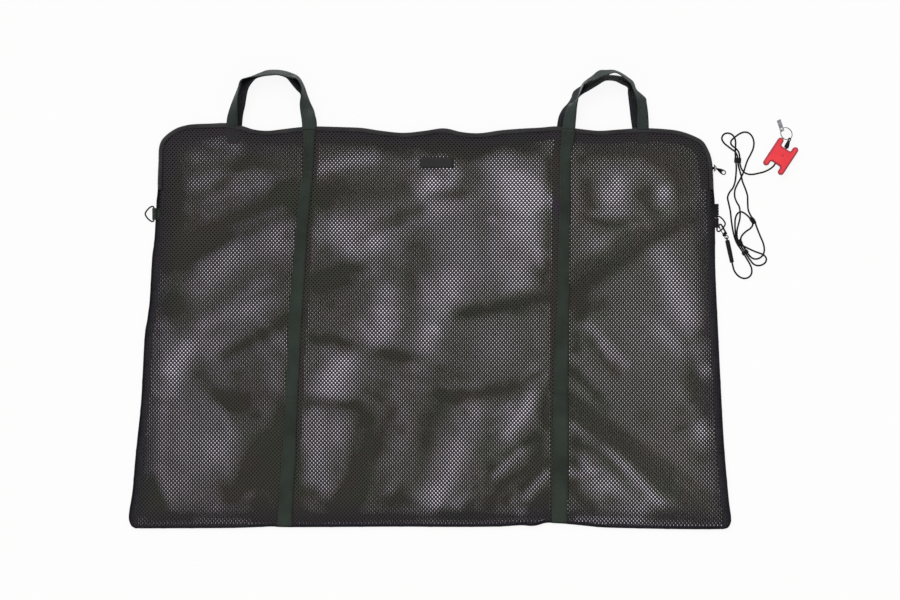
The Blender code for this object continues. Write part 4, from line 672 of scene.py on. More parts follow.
    (110, -340, 140, -320, 8, 20), (300, -350, 270, -340, 9, 30), (340, -90, 360, -116, 8, 30),
    (520, -70, 540, -150, 8, 20), (540, -300, 10, 15), (520, -380, 490, -360, 9, 20), (460, 190, 7, 25),
    (400, 156, 8, 20), (120, 160, 9, 20), (-320, -150, -310, -170, 14, 20), (-520, 80, -510, 60, 12, 12),
    (-450, -110, -430, -120, 12, 15), (540, -60, 554, -70, 9, -15), (552, -180, 570, -200, 11, -25),
    (520, -200, 9, -15), (220, -400, 236, -430, 9, -20), (290, -424, 9, -15), (-350, -396, -336, -424, 12, -25),
    (-260, -430, -224, -440, 9, -20), (-430, -416, 10, 12),
    (-560, -434, -260, -436, 40, -434, 340, -432, 584, -438, 8, -25), (-578, -280, -586, -424, 9, -20),
    (552, 120, 556, -60, 564, -240, 576, -400, 8, -20), (286, -324, 316, -360, 9, -30),
    (140, -370, 170, -350, 210, -330, 10, -25), (340, -280, 420, -324, 10, -22),
    (360, -400, 440, -420, 540, -430, 12, -20), (-140, 124, -70, 152, 9, -20), (-444, 296, -410, 300, 10, -20),
    (-236, 150, -190, 130, 11, -18), (416, 210, 450, 164, 460, 148, 9, -22), (500, 180, 550, 220, 12, -15),
    (290, -144, 350, -216, 10, -20), (210, -200, 240, -170, 9, -20), (300, -250, 340, -280, 9, -18),
    (290, -70, 290, -100, 9, -20), (130, 176, 220, 150, 13, -15), (-420, 240, -330, 240, 9, -12), (-460, 30, 10, -20),
    (-350, -230, 11, -20), (-200, -10, 10, -15), (-90, 0, -84, -40, 9, -15), (170, -24, 9, -20),
    (-130, -180, -100, -200, 9, -20), (-560, -360, -560, -410, 10, -15), (-430, -340, -404, -400, 13, -15),
    (-120, -340, -140, -400, 13, -12), (-50, -400, 0, -424, 10, -15), (550, -190, 556, -280, 9, -20),
    (510, -250, 490, -260, 8, -20), (214, 100, 222, 64, 8, 35), (-30, 90, -20, 0, 10, 15),
    (-356, -70, -336, -104, -304, -136, 9, 16), (-356, -390, 11, 22), (14, -406, 8, 35), (180, -424, 9, 30),
    (240, 204, 264, 180, 9, 25), (-384, 6, -316, 34, 9, 15), (110, -10, 9, 20),
    (-116, -150, -20, -176, 96, -172, 9, 14), (-224, -70, 8, 20), (-420, 330, 10, 15), (20, -70, 8, 20),
    (320, -340, 340, -340, 6, 25), (430, -40, 10, 12), (-136, -260, -146, -300, 8, 16),
    (-470, -438, -370, -440, 7, 20), (292, -436, 420, -440, 7, 28), (-450, 314, -396, 308, 9, 12), (176, -428, 7, 15),
    (10, -414, 8, 15),
]

plan = {"step": 2.5, "x": (-640.0, 640.1), "y": (-480.0, 380.1), "lineStep": 4.0}
fieldX = np.arange(*plan["x"], plan["step"])
fieldY = np.arange(*plan["y"], plan["step"])
planX, planY = np.meshgrid(fieldX, fieldY)


def distanceField(line):      # how far every place of the plan is from a line
    nearest = np.full(planX.shape, 1e6)
    for (x0, y0), (x1, y1) in zip(line, line[1:] or line):
        runX, runY = x1 - x0, y1 - y0
        share = ((planX - x0) * runX + (planY - y0) * runY) / max(runX * runX + runY * runY, 1e-9)
        share = np.clip(share, 0.0, 1.0)
        nearest = np.minimum(nearest, np.hypot(planX - x0 - share * runX, planY - y0 - share * runY))
    return nearest


def insideField(line):      # which places of the plan lie inside a closed line
    inside = np.zeros(planX.shape, bool)
    for (x0, y0), (x1, y1) in zip(line, line[1:] + line[:1]):
        if y0 != y1:
            crossing = (planY > min(y0, y1)) & (planY <= max(y0, y1))
            inside ^= crossing & (planX < x0 + (planY - y0) * (x1 - x0) / (y1 - y0))
    return inside


def sample(field, x, y):      # a field's value between its places
    column = np.clip((np.asarray(x, float) - fieldX[0]) / plan["step"], 0, len(fieldX) - 1.001)
    row = np.clip((np.asarray(y, float) - fieldY[0]) / plan["step"], 0, len(fieldY) - 1.001)
    c, r = column.astype(int), row.astype(int)
    u, v = column - c, row - r
    return ((field[r, c] * (1 - u) + field[r, c + 1] * u) * (1 - v)
            + (field[r + 1, c] * (1 - u) + field[r + 1, c + 1] * u) * v)


def ease(value):
    value = np.clip(value, 0.0, 1.0)
    return value * value * (3.0 - 2.0 * value)


def onFront(x, y, lift=0.0):      # a place on the front panel, or a little above it
    return x, y, float(sample(frontField, x, y)) + lift


rim, leftSide, rightSide, bottomEdge = (
    smoothLine(line, plan["lineStep"]) for line in (rimLine, leftLine, rightLine, bottomLine))
outline = rim + rightSide[1:] + bottomEdge[::-1][1:] + leftSide[::-1][1:-1]
edgeField = distanceField(outline + outline[:1]) * np.where(insideField(outline), 1.0, -1.0)
rimField = distanceField(rim)

layers = {"backZ": 2.3, "backRimZ": 3.4, "backRimFrom": 16.0, "backRimFall": 14.0, "frontZ": 5.4, "frontRimZ": 9.6,
    "rimFall": 90.0, "seamZ": 3.6, "slack": 1.1, "flatEdge": 8.0, "edgeFall": 30.0, "backShare": 0.3, "backMost": 2.0,
    "evenEverywhere": 0.25}
foldField = np.zeros(planX.shape)
for *places, height, width in foldLines:
    foldField += height * np.exp(-(distanceField(smoothLine(pairUp(places), 12.0)) / width) ** 2)
slowWave = np.sin(planX / 61.0 + 1.3 * np.sin(planY / 97.0)) * np.sin(planY / 73.0 + 1.1 * np.sin(planX / 120.0))
foldField = (foldField + layers["slack"] * (slowWave + 0.6)) * ease(
    (edgeField - layers["flatEdge"]) / layers["edgeFall"])
frontField = foldField + (
    layers["frontRimZ"] + (layers["frontZ"] - layers["frontRimZ"]) * ease(rimField / layers["rimFall"]))
backField = layers["backRimZ"] + (layers["backZ"] - layers["backRimZ"]) * ease(
    (rimField - layers["backRimFrom"]) / layers["backRimFall"])
backField += np.clip(layers["backShare"] * (foldField - 1.0), 0.0, layers["backMost"])
evenField = np.full(planX.shape, layers["evenEverywhere"])
for *places, width, percent in evenStrokes:
    evenField += percent / 100 * np.exp(-(distanceField(pairUp(places)) / width) ** 2)
evenField = np.clip(evenField, 0.0, 1.0)
# painted light: the yarn takes a purple tint where both layers' holes line up and light shows through
paintedLightField = np.clip(evenField * 1.3 - 0.2, 0.0, 1.0)
print("the sack's heights and folds are drawn")

# knitted mesh: holes 3 mm wide, 7.3 mm apart, in staggered rows 4 mm apart, as counted on the photo
knit = {"pitch": 7.3, "rowGap": 4.0, "holeShare": 0.56, "holeNarrowing": 0.75, "tuck": 0.9, "slip": 3.2, "top": 362.0,
    "left": -620.0, "height": 830, "width": 1240, "edgeShadeIn": 60.0, "edgeShadeMost": 0.9}
strapEdges = {      # each row is a height and the webbing's left and right edges there
    "frontLeft": (
        (340, -255, -227.5), (329.5, -253, -230.5), (299.5, -252, -231.5), (259.5, -253.5, -234),
        (219.5, -260, -237), (179.5, -264, -241.5), (139.5, -269, -245), (75.5, -273, -249), (29.5, -277.5, -251.5),
        (-20.5, -282, -255), (-60.5, -283.5, -257.5), (-100.5, -285, -259.5), (-150.5, -287, -262),
        (-200.5, -289, -265), (-260.5, -291, -267), (-320.5, -296, -268), (-380.5, -301, -273),
        (-452.5, -304, -276.5)
    ),
    "frontRight": (
        (340, 264, 290), (313.5, 262, 287), (299.5, 260.5, 283), (259.5, 259.5, 279.5), (199.5, 259, 280),
        (139.5, 257, 279), (69.5, 256, 279), (19.5, 256, 278.5), (-20.5, 254, 277), (-60.5, 251, 278),
        (-100.5, 249, 277), (-150.5, 248, 275.5), (-200.5, 246, 276), (-260.5, 245, 277), (-320.5, 245, 277),
        (-380.5, 244.5, 276), (-445.5, 244, 274)
    ),
    "backLeft": (
        (344.5, -256, -226), (299.5, -254, -224), (259.5, -255, -225), (219.5, -258, -228), (179.5, -262, -232),
        (139.5, -266, -237), (75.5, -269, -239), (29.5, -271, -241), (-20.5, -274, -244), (-100.5, -279, -250),
        (-200.5, -283, -254), (-260.5, -286, -257), (-320.5, -290, -260), (-380.5, -294, -264),
        (-452.5, -298, -268)
    ),
    "backRight": (
        (344.5, 253.5, 283), (299.5, 246, 276), (199.5, 245, 275), (69.5, 243, 273), (-20.5, 242, 272),
        (-100.5, 239.5, 269), (-150.5, 239, 268.5), (-260.5, 240.5, 270), (-380.5, 240, 270), (-444.5, 240, 270)
    ),
}
strapMiddles = {key: [((left + right) / 2, y) for y, left, right in edges] for key, edges in strapEdges.items()}


def edgesAt(edges, y):
    return [float(np.interp(-y, [-row[0] for row in edges], [row[side] for row in edges])) for side in (1, 2)]


def meshPanel(name, heights, shiftX, leftStrap, rightStrap, material, upward):
    pitch, rowGap = knit["pitch"], knit["rowGap"]
    columnCount = int(knit["width"] / pitch)
    rows = np.arange(int(knit["height"] / rowGap))
    y = np.repeat((knit["top"] - rows * rowGap)[:, None], columnCount, 1)
    x = knit["left"] + pitch * np.arange(columnCount)[None, :] + (rows % 2)[:, None] * pitch / 2
    x = x + sample(shiftX, x, y)
    inner = sample(edgeField, x, y)
    keep = inner > knit["tuck"]
    lowest = keep & (y < -400.0) & (sample(edgeField, x, y - rowGap) <= knit["tuck"])
    y = np.where(lowest, y - np.minimum(inner - 1.0, rowGap), y)      # the last row reaches the binding
    if leftStrap:
        keep &= x >= np.interp(-y, [-p[1] for p in leftStrap], [p[0] for p in leftStrap]) - pitch
    if rightStrap:
        keep &= x <= np.interp(-y, [-p[1] for p in rightStrap], [p[0] for p in rightStrap]) + pitch
    numbers = np.full(x.shape, -1)
    numbers[keep] = np.arange(int(keep.sum()))
    places = np.stack([x[keep], y[keep], sample(heights, x[keep], y[keep])], 1) * mm
    faces = []
    for odd in (0, 1):      # two triangles between each pair of neighbours in staggered rows
        a, b = numbers[:-1][odd::2, :-1], numbers[:-1][odd::2, 1:]
        c, d = numbers[1:][odd::2, :-1], numbers[1:][odd::2, 1:]
        for corners in ((a, c, d), (a, d, b)) if odd else ((a, c, b), (b, c, d)):
            triangle = np.stack([corner.ravel() for corner in corners], 1)
            faces.append(triangle[(triangle >= 0).all(1)])
    faces = np.concatenate(faces)[:, ::1 if upward else -1]
    mesh = bpy.data.meshes.new(name)
    mesh.from_pydata(places.tolist(), [], faces.tolist())
    item = grow(name, mesh, perforations, {"Hole Share": knit["holeShare"], "Hole Narrowing": knit["holeNarrowing"],
        "Material": material})
    spots = np.empty(len(item.data.vertices) * 3)
    item.data.vertices.foreach_get("co", spots)
    spotX, spotY, _ = spots.reshape(-1, 3).T / mm
    # painted shade: the yarn darkens to purple-black within this reach of the outline
    doubled = np.clip(1.0 - sample(edgeField, spotX, spotY) / knit["edgeShadeIn"], 0.0, 1.0)
    for title, values in (
            ("tone", np.clip(sample(paintedLightField, spotX, spotY), 0.0, 1.0)), ("edge", doubled * knit["edgeShadeMost"])):
        item.data.attributes.new(title, "FLOAT", "POINT").data.foreach_set("value", values)
    return item


offBeat = knit["slip"] * (1.0 - evenField)      # how far the back's holes have slipped sideways
for name, heights, shiftX, straps, material, upward, node in (
        ("meshFront", frontField, offBeat * 0.0, ("frontLeft", "frontRight"), knitFront, True, "front_panel"),
        ("meshBack", backField, offBeat, ("backLeft", "backRight"), knitBackShaded, False, "back_panel")):
    left, right = (strapMiddles[key] for key in straps)
    for part, edges in (("Left", (None, left)), ("Middle", (left, right)), ("Right", (right, None))):
        panel = meshPanel(name + part, heights, shiftX, *edges, material, upward)
        settle(panel, "sack", "mesh_fabric", node)
        print(panel.name, "has", len(panel.data.polygons), "faces")

# binding: a tape inside the seam, under the mesh, whose outer edge is rolled over it
binding = {"width": 16.0, "bottomWidth": 6.6, "thickness": 0.7, "stitchIn": 13.0, "stitchLift": 0.8}
wrapShape = ((16.0, "seam", 0.3), (11.0, "seam", 0.5), (6.0, "seam", 0.3), (2.0, "seam", -0.1), (0.4, "seam", -0.2),
    (0.0, "seam", 0.6), (0.3, "front", 0.1), (1.0, "front", 0.6), (1.8, "front", 0.6))


def wrapped(name, line, inward, width):
    rows = []
    for index, (x, y) in enumerate(line):
        row = []
        ripple = 0.3 * sin(index * 0.9) + 0.2 * sin(index * 0.37 + 1.0)
        for reach, layer, extra in wrapShape:
            reach = min(reach, width) if layer == "seam" else reach + ripple
            px, py = x + inward[0] * reach, y + inward[1] * reach
            row.append((px, py, layers["seamZ"] + extra) if layer == "seam" else onFront(px, py, extra))
        rows.append(row)
    settle(strip(name, rows, bindingTape, binding["thickness"]), "sack", "zip_tape", "seam_tape")


wrapped("sideBindingLeft", leftSide, (1.0, 0.0), binding["width"])
wrapped("sideBindingRight", rightSide, (-1.0, 0.0), binding["width"])
wrapped("bottomBinding", bottomEdge[2:-1], (0.0, 1.0), binding["bottomWidth"])
sew("bindingStitches", [
    [onFront(x + side * binding["stitchIn"], y, binding["stitchLift"]) for x, y in line[:-4]]
    for side, line in ((1.0, leftSide), (-1.0, rightSide))])
print("the sides and bottom are bound")

# zip: a tape on each side of the mouth, rippled by the coil, a dark sheet of painted shade under the rim, and the coil
# itself along the very edge
zipper = {"tapeWidth": 8.6, "tape": 0.7, "shadeSheetWidth": 27.0, "shadeSheetZ": 7.0, "shadeSheetThickness": 0.6, "coilPitch": 1.5,
    "coilReach": 1.35, "coilWire": 0.42, "frontCoilZ": 8.2, "backCoilZ": 4.4, "coilIn": 1.4, "stitchIn": 7.4,
    "stitchZ": 10.75}


def rimRows(depths, heights):
    rows = []
    for index, (x, y) in enumerate(rim):
        before, after = rim[max(index - 1, 0)], rim[min(index + 1, len(rim) - 1)]
        run = Vector((after[0] - before[0], after[1] - before[1])).normalized()
        ripple = 0.5 * sin(index * 0.55) + 0.4 * sin(index * 0.23 + 2.0)
        rows.append([(x + run.y * depth, y - run.x * depth, height + ripple * (1.0 - depth / 30.0) * (height > 5.0))
            for depth, height in zip(depths, heights)])
    return rows


tapeInner = (zipper["tapeWidth"],)
# the third strip is binding tape laid between the layers as painted shade under the rim
for name, depths, heights, material, thickness, upward, nodes in (
        ("zipTapeFront", (0.9, 2.0, 3.4, 5.0, 7.0) + tapeInner, (9.3, 10.1, 10.5, 10.5, 10.4,
         layers["frontRimZ"] + 0.7), zipTape, zipper["tape"], True, ("zip_tape_front",)),
        ("zipTapeBack", (0.9, 2.2, 4.0, 7.0, 10.0) + tapeInner, (3.0, 2.5, 2.3, 2.2, 2.2, 2.2),
         zipTape, zipper["tape"], False, ("zip_tape_back",)),
        ("rimShadeSheet", (3.0, 9.0, 15.0, 21.0, zipper["shadeSheetWidth"]), (zipper["shadeSheetZ"],) * 5,
         bindingTape, zipper["shadeSheetThickness"], True, ())):
    settle(strip(name, rimRows(depths, heights), material, thickness, upward), "sack", "zip_tape", *nodes)
for name, height, node in (("zipCoilFront", zipper["frontCoilZ"], "zip_chain_front"),
                           ("zipCoilBack", zipper["backCoilZ"], "zip_chain_back")):
    path = [row[0] for row in rimRows((zipper["coilIn"],), (height,))]
    coil = grow(name, lineMesh(name, [path]), coilTeeth, {"Pitch": zipper["coilPitch"] * mm,
        "Reach": zipper["coilReach"] * mm, "Wire": zipper["coilWire"] * mm, "Material": zipCoil})
    settle(coil, "sack", "zip_coil", node)
sew("tapeStitches", [[row[0] for row in rimRows((zipper["stitchIn"],), (zipper["stitchZ"],))]], 3.4, 2.4, 0.45)
print("the zip is laid along the rim")

# straps: 30 mm webbing down both faces, its edges curling under, sewn along both of them
strap = {"thickness": 1.3, "step": 3.5, "across": 9, "edgeStitch": 3.0, "stitchLift": 0.8, "curl": 0.5,
    "frontLift": 1.5, "backLift": 0.8, "frontTop": 339.9, "backTop": 344.4, "underZ": 0.5, "doubled": 1.1,
    "doubledTo": 309.0, "creaseDepth": 1.3, "creaseWidth": 2.6,
    "creases": {"frontLeft": (259.5, -197.0), "frontRight": (-191.0,)}}


def strapRows(edges, top, bottom, heights, lift):
    count = max(int((top - bottom) / strap["step"]), 3)
    last = strap["across"] - 1
    rows = []
    for index in range(count + 1):
        y = top + (bottom - top) * index / count
        left, right = edgesAt(edges, y)
        places = [left + (right - left) * k / last for k in range(last + 1)]
        levels = [float(sample(heights, x, y)) for x in places]
        flat = sum(levels) / len(levels)
        rows.append([(x, y, 0.5 * level + 0.5 * flat + lift(y) - strap["curl"] * (k in (0, last)))
            for k, (x, level) in enumerate(zip(places, levels))])
    return rows


def strapLift(y):      # how high a strap lies on its panel: two creases in it, the handle's webbing sewn on over one
    crease = max([exp(-((y - at) / strap["creaseWidth"]) ** 2) for at in strap["creases"][key]])
    doubled = key == "frontRight" and y > strap["doubledTo"]
    return strap["frontLift"] + strap["doubled"] * doubled - strap["creaseDepth"] * crease


def backLift(y):
    return strap["backLift"]


underField = np.full(planX.shape, strap["underZ"])
for key, node in (("frontLeft", "strap_front_left"), ("frontRight", "strap_front_right"),
                  ("backLeft", "strap_back_left"), ("backRight", "strap_back_right")):
    edges, front = strapEdges[key], key.startswith("front")
    rows = strapRows(edges, strap["frontTop" if front else "backTop"], edges[-1][0],
        frontField if front else underField, strapLift if front else backLift)
    settle(strip("strap" + key[0].upper() + key[1:], rows, webbing, strap["thickness"], front),
           "sack", "webbing", node)
    if front:
        inset, lift = strap["edgeStitch"], strap["stitchLift"]
        sew("strapStitches" + key[5:], [[(row[0][0] + inset, row[0][1], row[1][2] + lift) for row in rows],
            [(row[-1][0] - inset, row[0][1], row[-2][2] + lift) for row in rows]])
print("the straps are sewn on")

# handles: the strap's own webbing, standing on edge as it bends; each place is the outer edge's x and y,
# the inner edge's x and y, the lift off the floor and how far the webbing stands up
handle = {"width": 30.0, "thickness": 1.4, "step": 4.0, "across": 7, "bendFrom": -1.0, "bendTo": 16.0, "curl": 0.5,
    "floorGap": 0.8, "sewnAbove": 19.0, "stitchLift": 0.85}
handlePlaces = {
    "handleFrontLeft": ("handle_front_left", (
        (-227.5, 340, -255, 340, 11, 0), (-227.5, 357.5, -256, 357.5, 11, 0.1),
        (-231, 376.5, -258.5, 376.5, 10, 0.3), (-238.5, 392.5, -259, 391.5, 7, 0.6),
        (-245, 408.5, -256.5, 407.5, 3.5, 0.85), (-252, 428.5, -256.5, 425, 1.5, 0.97),
        (-262.5, 445.5, -266, 441, 0.8, 0.97), (-278, 453.5, -282, 443.5, 0.5, 0.95),
        (-294, 458, -295.5, 447.5, 0.5, 0.95), (-309, 459.5, -308, 449, 0.5, 0.95),
        (-326, 458.5, -324, 447.5, 0.5, 0.95), (-340, 453.5, -337, 445.5, 0.5, 0.95),
        (-360, 445.5, -358.5, 442.5, 0.8, 0.97), (-378, 439.5, -375.5, 437, 1.5, 0.97),
        (-384, 423.5, -380, 421, 3, 0.93), (-391, 405.5, -383, 403.5, 5.5, 0.75),
        (-398.5, 385.5, -384, 384.5, 8.5, 0.5), (-404, 367.5, -384, 367.5, 10.5, 0.25),
        (-406, 355.5, -383.5, 355.5, 11, 0.1), (-406.5, 348, -383, 348, 10.6, 0), (-406.5, 345, -382, 345, 7.6, 0),
        (-406.5, 340, -381, 340, 7, 0)
    )),
    "handleBackLeft": ("handle_back_left", (
        (-226, 344.5, -256, 344.5, 0, 0), (-227, 359.5, -256, 359.5, 0, 0.05),
        (-232.5, 377.5, -256.5, 375.5, 0, 0.3), (-241, 396.5, -257.5, 393.5, 0, 0.6),
        (-248, 412.5, -257.5, 409, 0, 0.85), (-252.5, 428, -265, 417.5, 0, 0.85), (-261, 441.5, -274, 428, 0, 0.85),
        (-274, 446, -284, 440.5, 0, 0.95), (-290, 451.5, -293, 445, 0, 0.95), (-306, 454.5, -304.5, 447.5, 0, 0.95),
        (-324, 453.5, -320, 446.5, 0, 0.95), (-344, 449, -332, 445, 0, 0.93), (-363, 445, -345.5, 441, 0, 0.9),
        (-377.5, 438.5, -354.5, 432.5, 0, 0.8), (-381.5, 423.5, -361.5, 422, 0, 0.7),
        (-387, 408.5, -365.5, 407.5, 0, 0.6), (-394, 389.5, -369, 387.5, 0, 0.4),
        (-400, 369.5, -373.5, 368.5, 0, 0.2), (-405, 344.5, -376, 344.5, 0, 0)
    )),
    "handleFrontRight": ("handle_front_right", (
        (437, 340, 414, 340, 10.4, 0), (436.5, 355.5, 414, 355.5, 11, 0.1), (435, 375.5, 414, 374.5, 10, 0.3),
        (432.5, 393.5, 413.5, 389.5, 7, 0.5), (431, 402.5, 412, 397.5, 5, 0.6), (420, 413, 409, 407.5, 3, 0.75),
        (412, 421, 405, 417.5, 2, 0.85), (406.5, 435.5, 400, 429.5, 1, 0.9), (395, 445, 389.5, 439, 1, 0.92),
        (382, 453.5, 377.5, 448.5, 1, 0.95), (368, 459, 366.5, 452, 1, 0.95), (353, 459, 354, 447.5, 1, 0.93),
        (338, 458, 343.5, 444.5, 1, 0.93), (324.5, 447.5, 330, 438, 0.8, 0.93), (314, 440, 317.5, 435, 0.5, 0.96),
        (305, 432, 307.5, 430.5, 0.3, 0.98), (299, 419.5, 301.5, 418.5, 0.3, 0.98),
        (294, 408, 296.5, 406, 0.5, 0.97), (284, 396.5, 294.5, 396.5, 3, 0.85), (274.5, 385, 293, 384.5, 7, 0.5),
        (268.5, 367.5, 292, 367.5, 10, 0.2), (264, 340, 290, 340, 11, 0)
    )),
    "handleBackRight": ("handle_back_right", (
        (433, 344.5, 404, 344.5, 0, 0), (430, 363.5, 401, 363.5, 0, 0.1), (422, 383.5, 398.5, 383.5, 0, 0.35),
        (416, 401.5, 396, 401.5, 0, 0.6), (412, 417.5, 394.5, 412.5, 0, 0.8), (408, 431.5, 393.5, 423, 0, 0.85),
        (395, 442.5, 381.5, 429.5, 0, 0.85), (377, 447.5, 369, 435.5, 0, 0.85), (360, 449, 356, 437, 0, 0.85),
        (342, 449, 347, 435.5, 0, 0.85), (326, 440.5, 334, 427.5, 0, 0.85), (307, 430, 316.5, 417, 1, 0.8),
        (288, 417, 305, 410.5, 2, 0.7), (283, 404.5, 296, 402.5, 1, 0.75), (276.5, 393.5, 292, 390.5, 0, 0.7),
        (264.5, 380, 287, 377.5, 0, 0.45), (257, 364.5, 284, 363.5, 0, 0.2), (253.5, 344.5, 283, 344.5, 0, 0)
    )),
}
# painted highlights on the front handles: a place, a reach and a strength for each
paintedHighlightSpots = ((-302.0, 456.0, 24.0, 0.22), (-269.0, 442.0, 7.0, 0.4), (300.0, 419.5, 13.0, 1.3),
    (-236.0, 375.0, 10.0, 0.15), (279.0, 393.0, 4.0, 0.9), (286.0, 402.0, 4.0, 0.9))


def paintedHighlight(place):      # painted highlights on the front handles, where light catches their bends and edges
    return sum(amount * exp(-((place[0] - x) ** 2 + (place[1] - y) ** 2) / reach ** 2)
        for x, y, reach, amount in paintedHighlightSpots)


def handleRows(places):
    last = handle["across"] - 1
    rows = []
    for outerX, outerY, innerX, innerY, lift, rise in smoothLine(places, handle["step"]):
        half = handle["width"] / 2 * min(max(rise, 0.0), 1.0)
        middle = handle["floorGap"] + lift + half
        outer, inner = Vector((outerX, outerY, middle - half)), Vector((innerX, innerY, middle + half))
        side = (inner - outer).normalized()
        bow = Vector((-side.z * side.x, -side.z * side.y, 1.0 - side.z ** 2)) * handle["curl"] * rise
        rows.append([tuple(outer.lerp(inner, k / last) + bow * (1 - (2 * k / last - 1) ** 2)) for k in range(last + 1)])
    return rows


for name, (node, places) in handlePlaces.items():
    rows = handleRows(places)
    front = "front" in node
    # the back handles take the darker copy as painted shade, with the handle webbing on their other face
    item = strip(name, rows, handleWebbing if front else handleWebbingShaded, handle["thickness"],
        tone=paintedHighlight if front else None, reverse=None if front else handleWebbing)
    legs = [[row for row in part if dist(row[0][:2], row[-1][:2]) > handle["sewnAbove"]]
            for part in (rows[:len(rows) // 2], rows[len(rows) // 2:])]
    threads = sew(name + "Stitches", [[(row[k][0], row[k][1], row[k][2] + handle["stitchLift"]) for row in leg]
        for leg in legs if len(leg) > 2 for k in (1, -2)], rides=False)
    for piece in (item, threads):
        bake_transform(piece)
    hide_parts(node)

# the front handles' outer ends go in under the mesh's edge, the back ones lie on the back face
ends = {"length": 28.0, "box": 20.0, "underMesh": -1.6, "onTape": 1.6, "boxLift": 0.8, "doubledLift": 3.6}
for name, node, left, right, wentUnder in (
        ("handleEndFrontLeft", "handle_end_front_left", -406.5, -381.0, 345.0),
        ("handleEndFrontRight", "handle_end_front_right", 414.0, 437.0, 338.0),
        ("handleEndBackLeft", "handle_end_back_left", -405.0, -376.0, None),
        ("handleEndBackRight", "handle_end_back_right", 404.0, 433.0, None)):
    def endLift(y):
        return ends["underMesh" if y < wentUnder else "onTape"]

    top = strap["frontTop" if wentUnder else "backTop"]
    bottom = top - ends["length"]
    rows = strapRows(((top, left, right), (bottom, left, right)), top, bottom,
        frontField if wentUnder else underField, endLift if wentUnder else backLift)
    settle(strip(name, rows, handleWebbing, strap["thickness"], bool(wentUnder)), "sack", "webbing", node)


def boxStitch(x, y, lift):      # the square with a cross that holds each webbing end
    half = ends["box"] / 2
    corners = [(x - half, y - half), (x + half, y - half), (x + half, y + half), (x - half, y + half)]
    return [[onFront(px, py, lift) for px, py in smoothLine([corners[first], corners[second]], 4.0)]
            for first, second in ((0, 1), (1, 2), (2, 3), (3, 0), (0, 2), (1, 3))]


sew("boxStitches", [line for x, y, lift in (
    (-394.0, 328.0, ends["boxLift"]), (425.0, 326.0, ends["boxLift"]),
    (sum(edgesAt(strapEdges["frontRight"], 324.0)) / 2, 324.0, ends["doubledLift"]))
    for line in boxStitch(x, y, lift)], 3.0, 2.2)
print("the handles are made")

# label: a blank woven patch, hemmed all round
label = {"left": -20.2, "right": 46.0, "top": 283.7, "bottom": 263.5, "lift": 1.1, "hemIn": 1.8, "hemLift": 1.6,
    "down": 7, "across": 16, "curl": 0.35, "thickness": 0.7}
left, right, top, bottom = (label[key] for key in ("left", "right", "top", "bottom"))
down, across = label["down"], label["across"]
settle(strip("blankLabel", [[onFront(left + (right - left) * j / across, top + (bottom - top) * k / down,
    label["lift"] - label["curl"] * (j in (0, across) or k in (0, down))) for j in range(across + 1)]
    for k in range(down + 1)], labelSatin, label["thickness"]), "sack", "label_weave", "label")
inset = label["hemIn"]
corners = [(left + inset, bottom + inset), (right - inset, bottom + inset), (right - inset, top - inset),
    (left + inset, top - inset)]
hem = [onFront(x, y, label["hemLift"]) for first, second in zip(corners, corners[1:] + corners[:1])
       for x, y in smoothLine([first, second], 4.0)]
sew("labelStitches", [hem], 2.6, 1.8, 0.4)

# webbing tabs folded round the rings' bars, and the tab that finishes the zip's right end
tab = {"radius": 2.75, "barZ": 3.8, "thickness": 1.1, "openOut": -0.9,
    "over": ((-15.0, 1.1), (-9.0, 1.0), (-4.6, 1.3), (-2.4, 2.2)),
    "under": ((-2.4, -2.2), (-4.6, -1.2), (-9.0, -0.9), (-15.0, -0.8))}


def foldedTab(name, node, barX, out, low, high, wave, tucked=0.0):      # the tucked end lies open round a ring's corner
    rows = []
    count = 16 if tucked else 9
    radius, barZ = tab["radius"], tab["barZ"]
    for k in range(count + 1):
        y = low + (high - low) * k / count
        ripple = wave * sin(k * 1.9)
        drawn = tab["openOut"] if y < low + tucked else 1.0
        angles = [pi / 2 - pi * step / 8 for step in range(9)]
        row = [(barX + out * (reach + ripple * 0.3), y, barZ + level) for reach, level in tab["over"]]
        row += [(barX + out * (radius + max(ripple, -0.2)) * drawn * cos(angle), y, barZ + radius * sin(angle))
            for angle in angles]
        rows.append(row + [(barX + out * reach, y, barZ + level) for reach, level in tab["under"]])
    settle(strip(name, rows, bindingTape if wave else webbing, tab["thickness"]), "sack", "webbing", node)


foldedTab("ringTabLeft", "ring_tab_left", -551.9, -1.0, 159.8, 183.2, 0.0)
foldedTab("ringTabRight", "ring_tab_right", 573.7, 1.0, 143.7, 163.2, 0.35)
foldedTab("zipEndTab", "zip_end_tab", 573.7, 1.0, 163.7, 191.6, 0.6, 4.6)
print("the tabs are folded")

# rings: pointed D-rings bent from 3 mm wire; a side is the bar's x, its middle's y, which way it points and its tilt
ring = {"wire": 1.5, "step": 1.2, "left": (-551.86, 171.5, -1.0, 0.0), "right": (573.68, 151.5, 1.0, 25.0),
    "half": ((0.0, 7.0), (0.0, 12.2), (0.8, 14.1), (2.9, 15.1), (6.0, 14.2), (10.5, 10.8), (14.5, 6.2), (16.8, 2.2))}
ringHalf = ring["half"]
ringShape = ((0.0, 0.0), *ringHalf, (17.3, 0.0), *((reach, -side) for reach, side in ringHalf[::-1]))


def closedLine(places, step):      # an even closed curve through the places
    doubled = smoothLine(list(places) + list(places[:3]), step)
    fromStart = [dist(place, places[1]) for place in doubled]
    start = fromStart.index(min(fromStart))
    return doubled[start:fromStart.index(min(fromStart[start + 6:]), start + 6)]


def dRing(name, node, body, barX, middleY, out, tilt):
    tilt = radians(tilt)
    places = [(barX + out * reach * cos(tilt), middleY + side, tab["barZ"] + reach * sin(tilt))
        for reach, side in ringShape]
    settle(tube(name, closedLine(places, ring["step"]), ring["wire"], darkSteel, 14, closed=True),
           body, "dark_metal", node)


dRing("dRingLeft", "d_ring_left", "ring_left", *ring["left"])
dRing("dRingRight", "d_ring_right", "ring_right", *ring["right"])


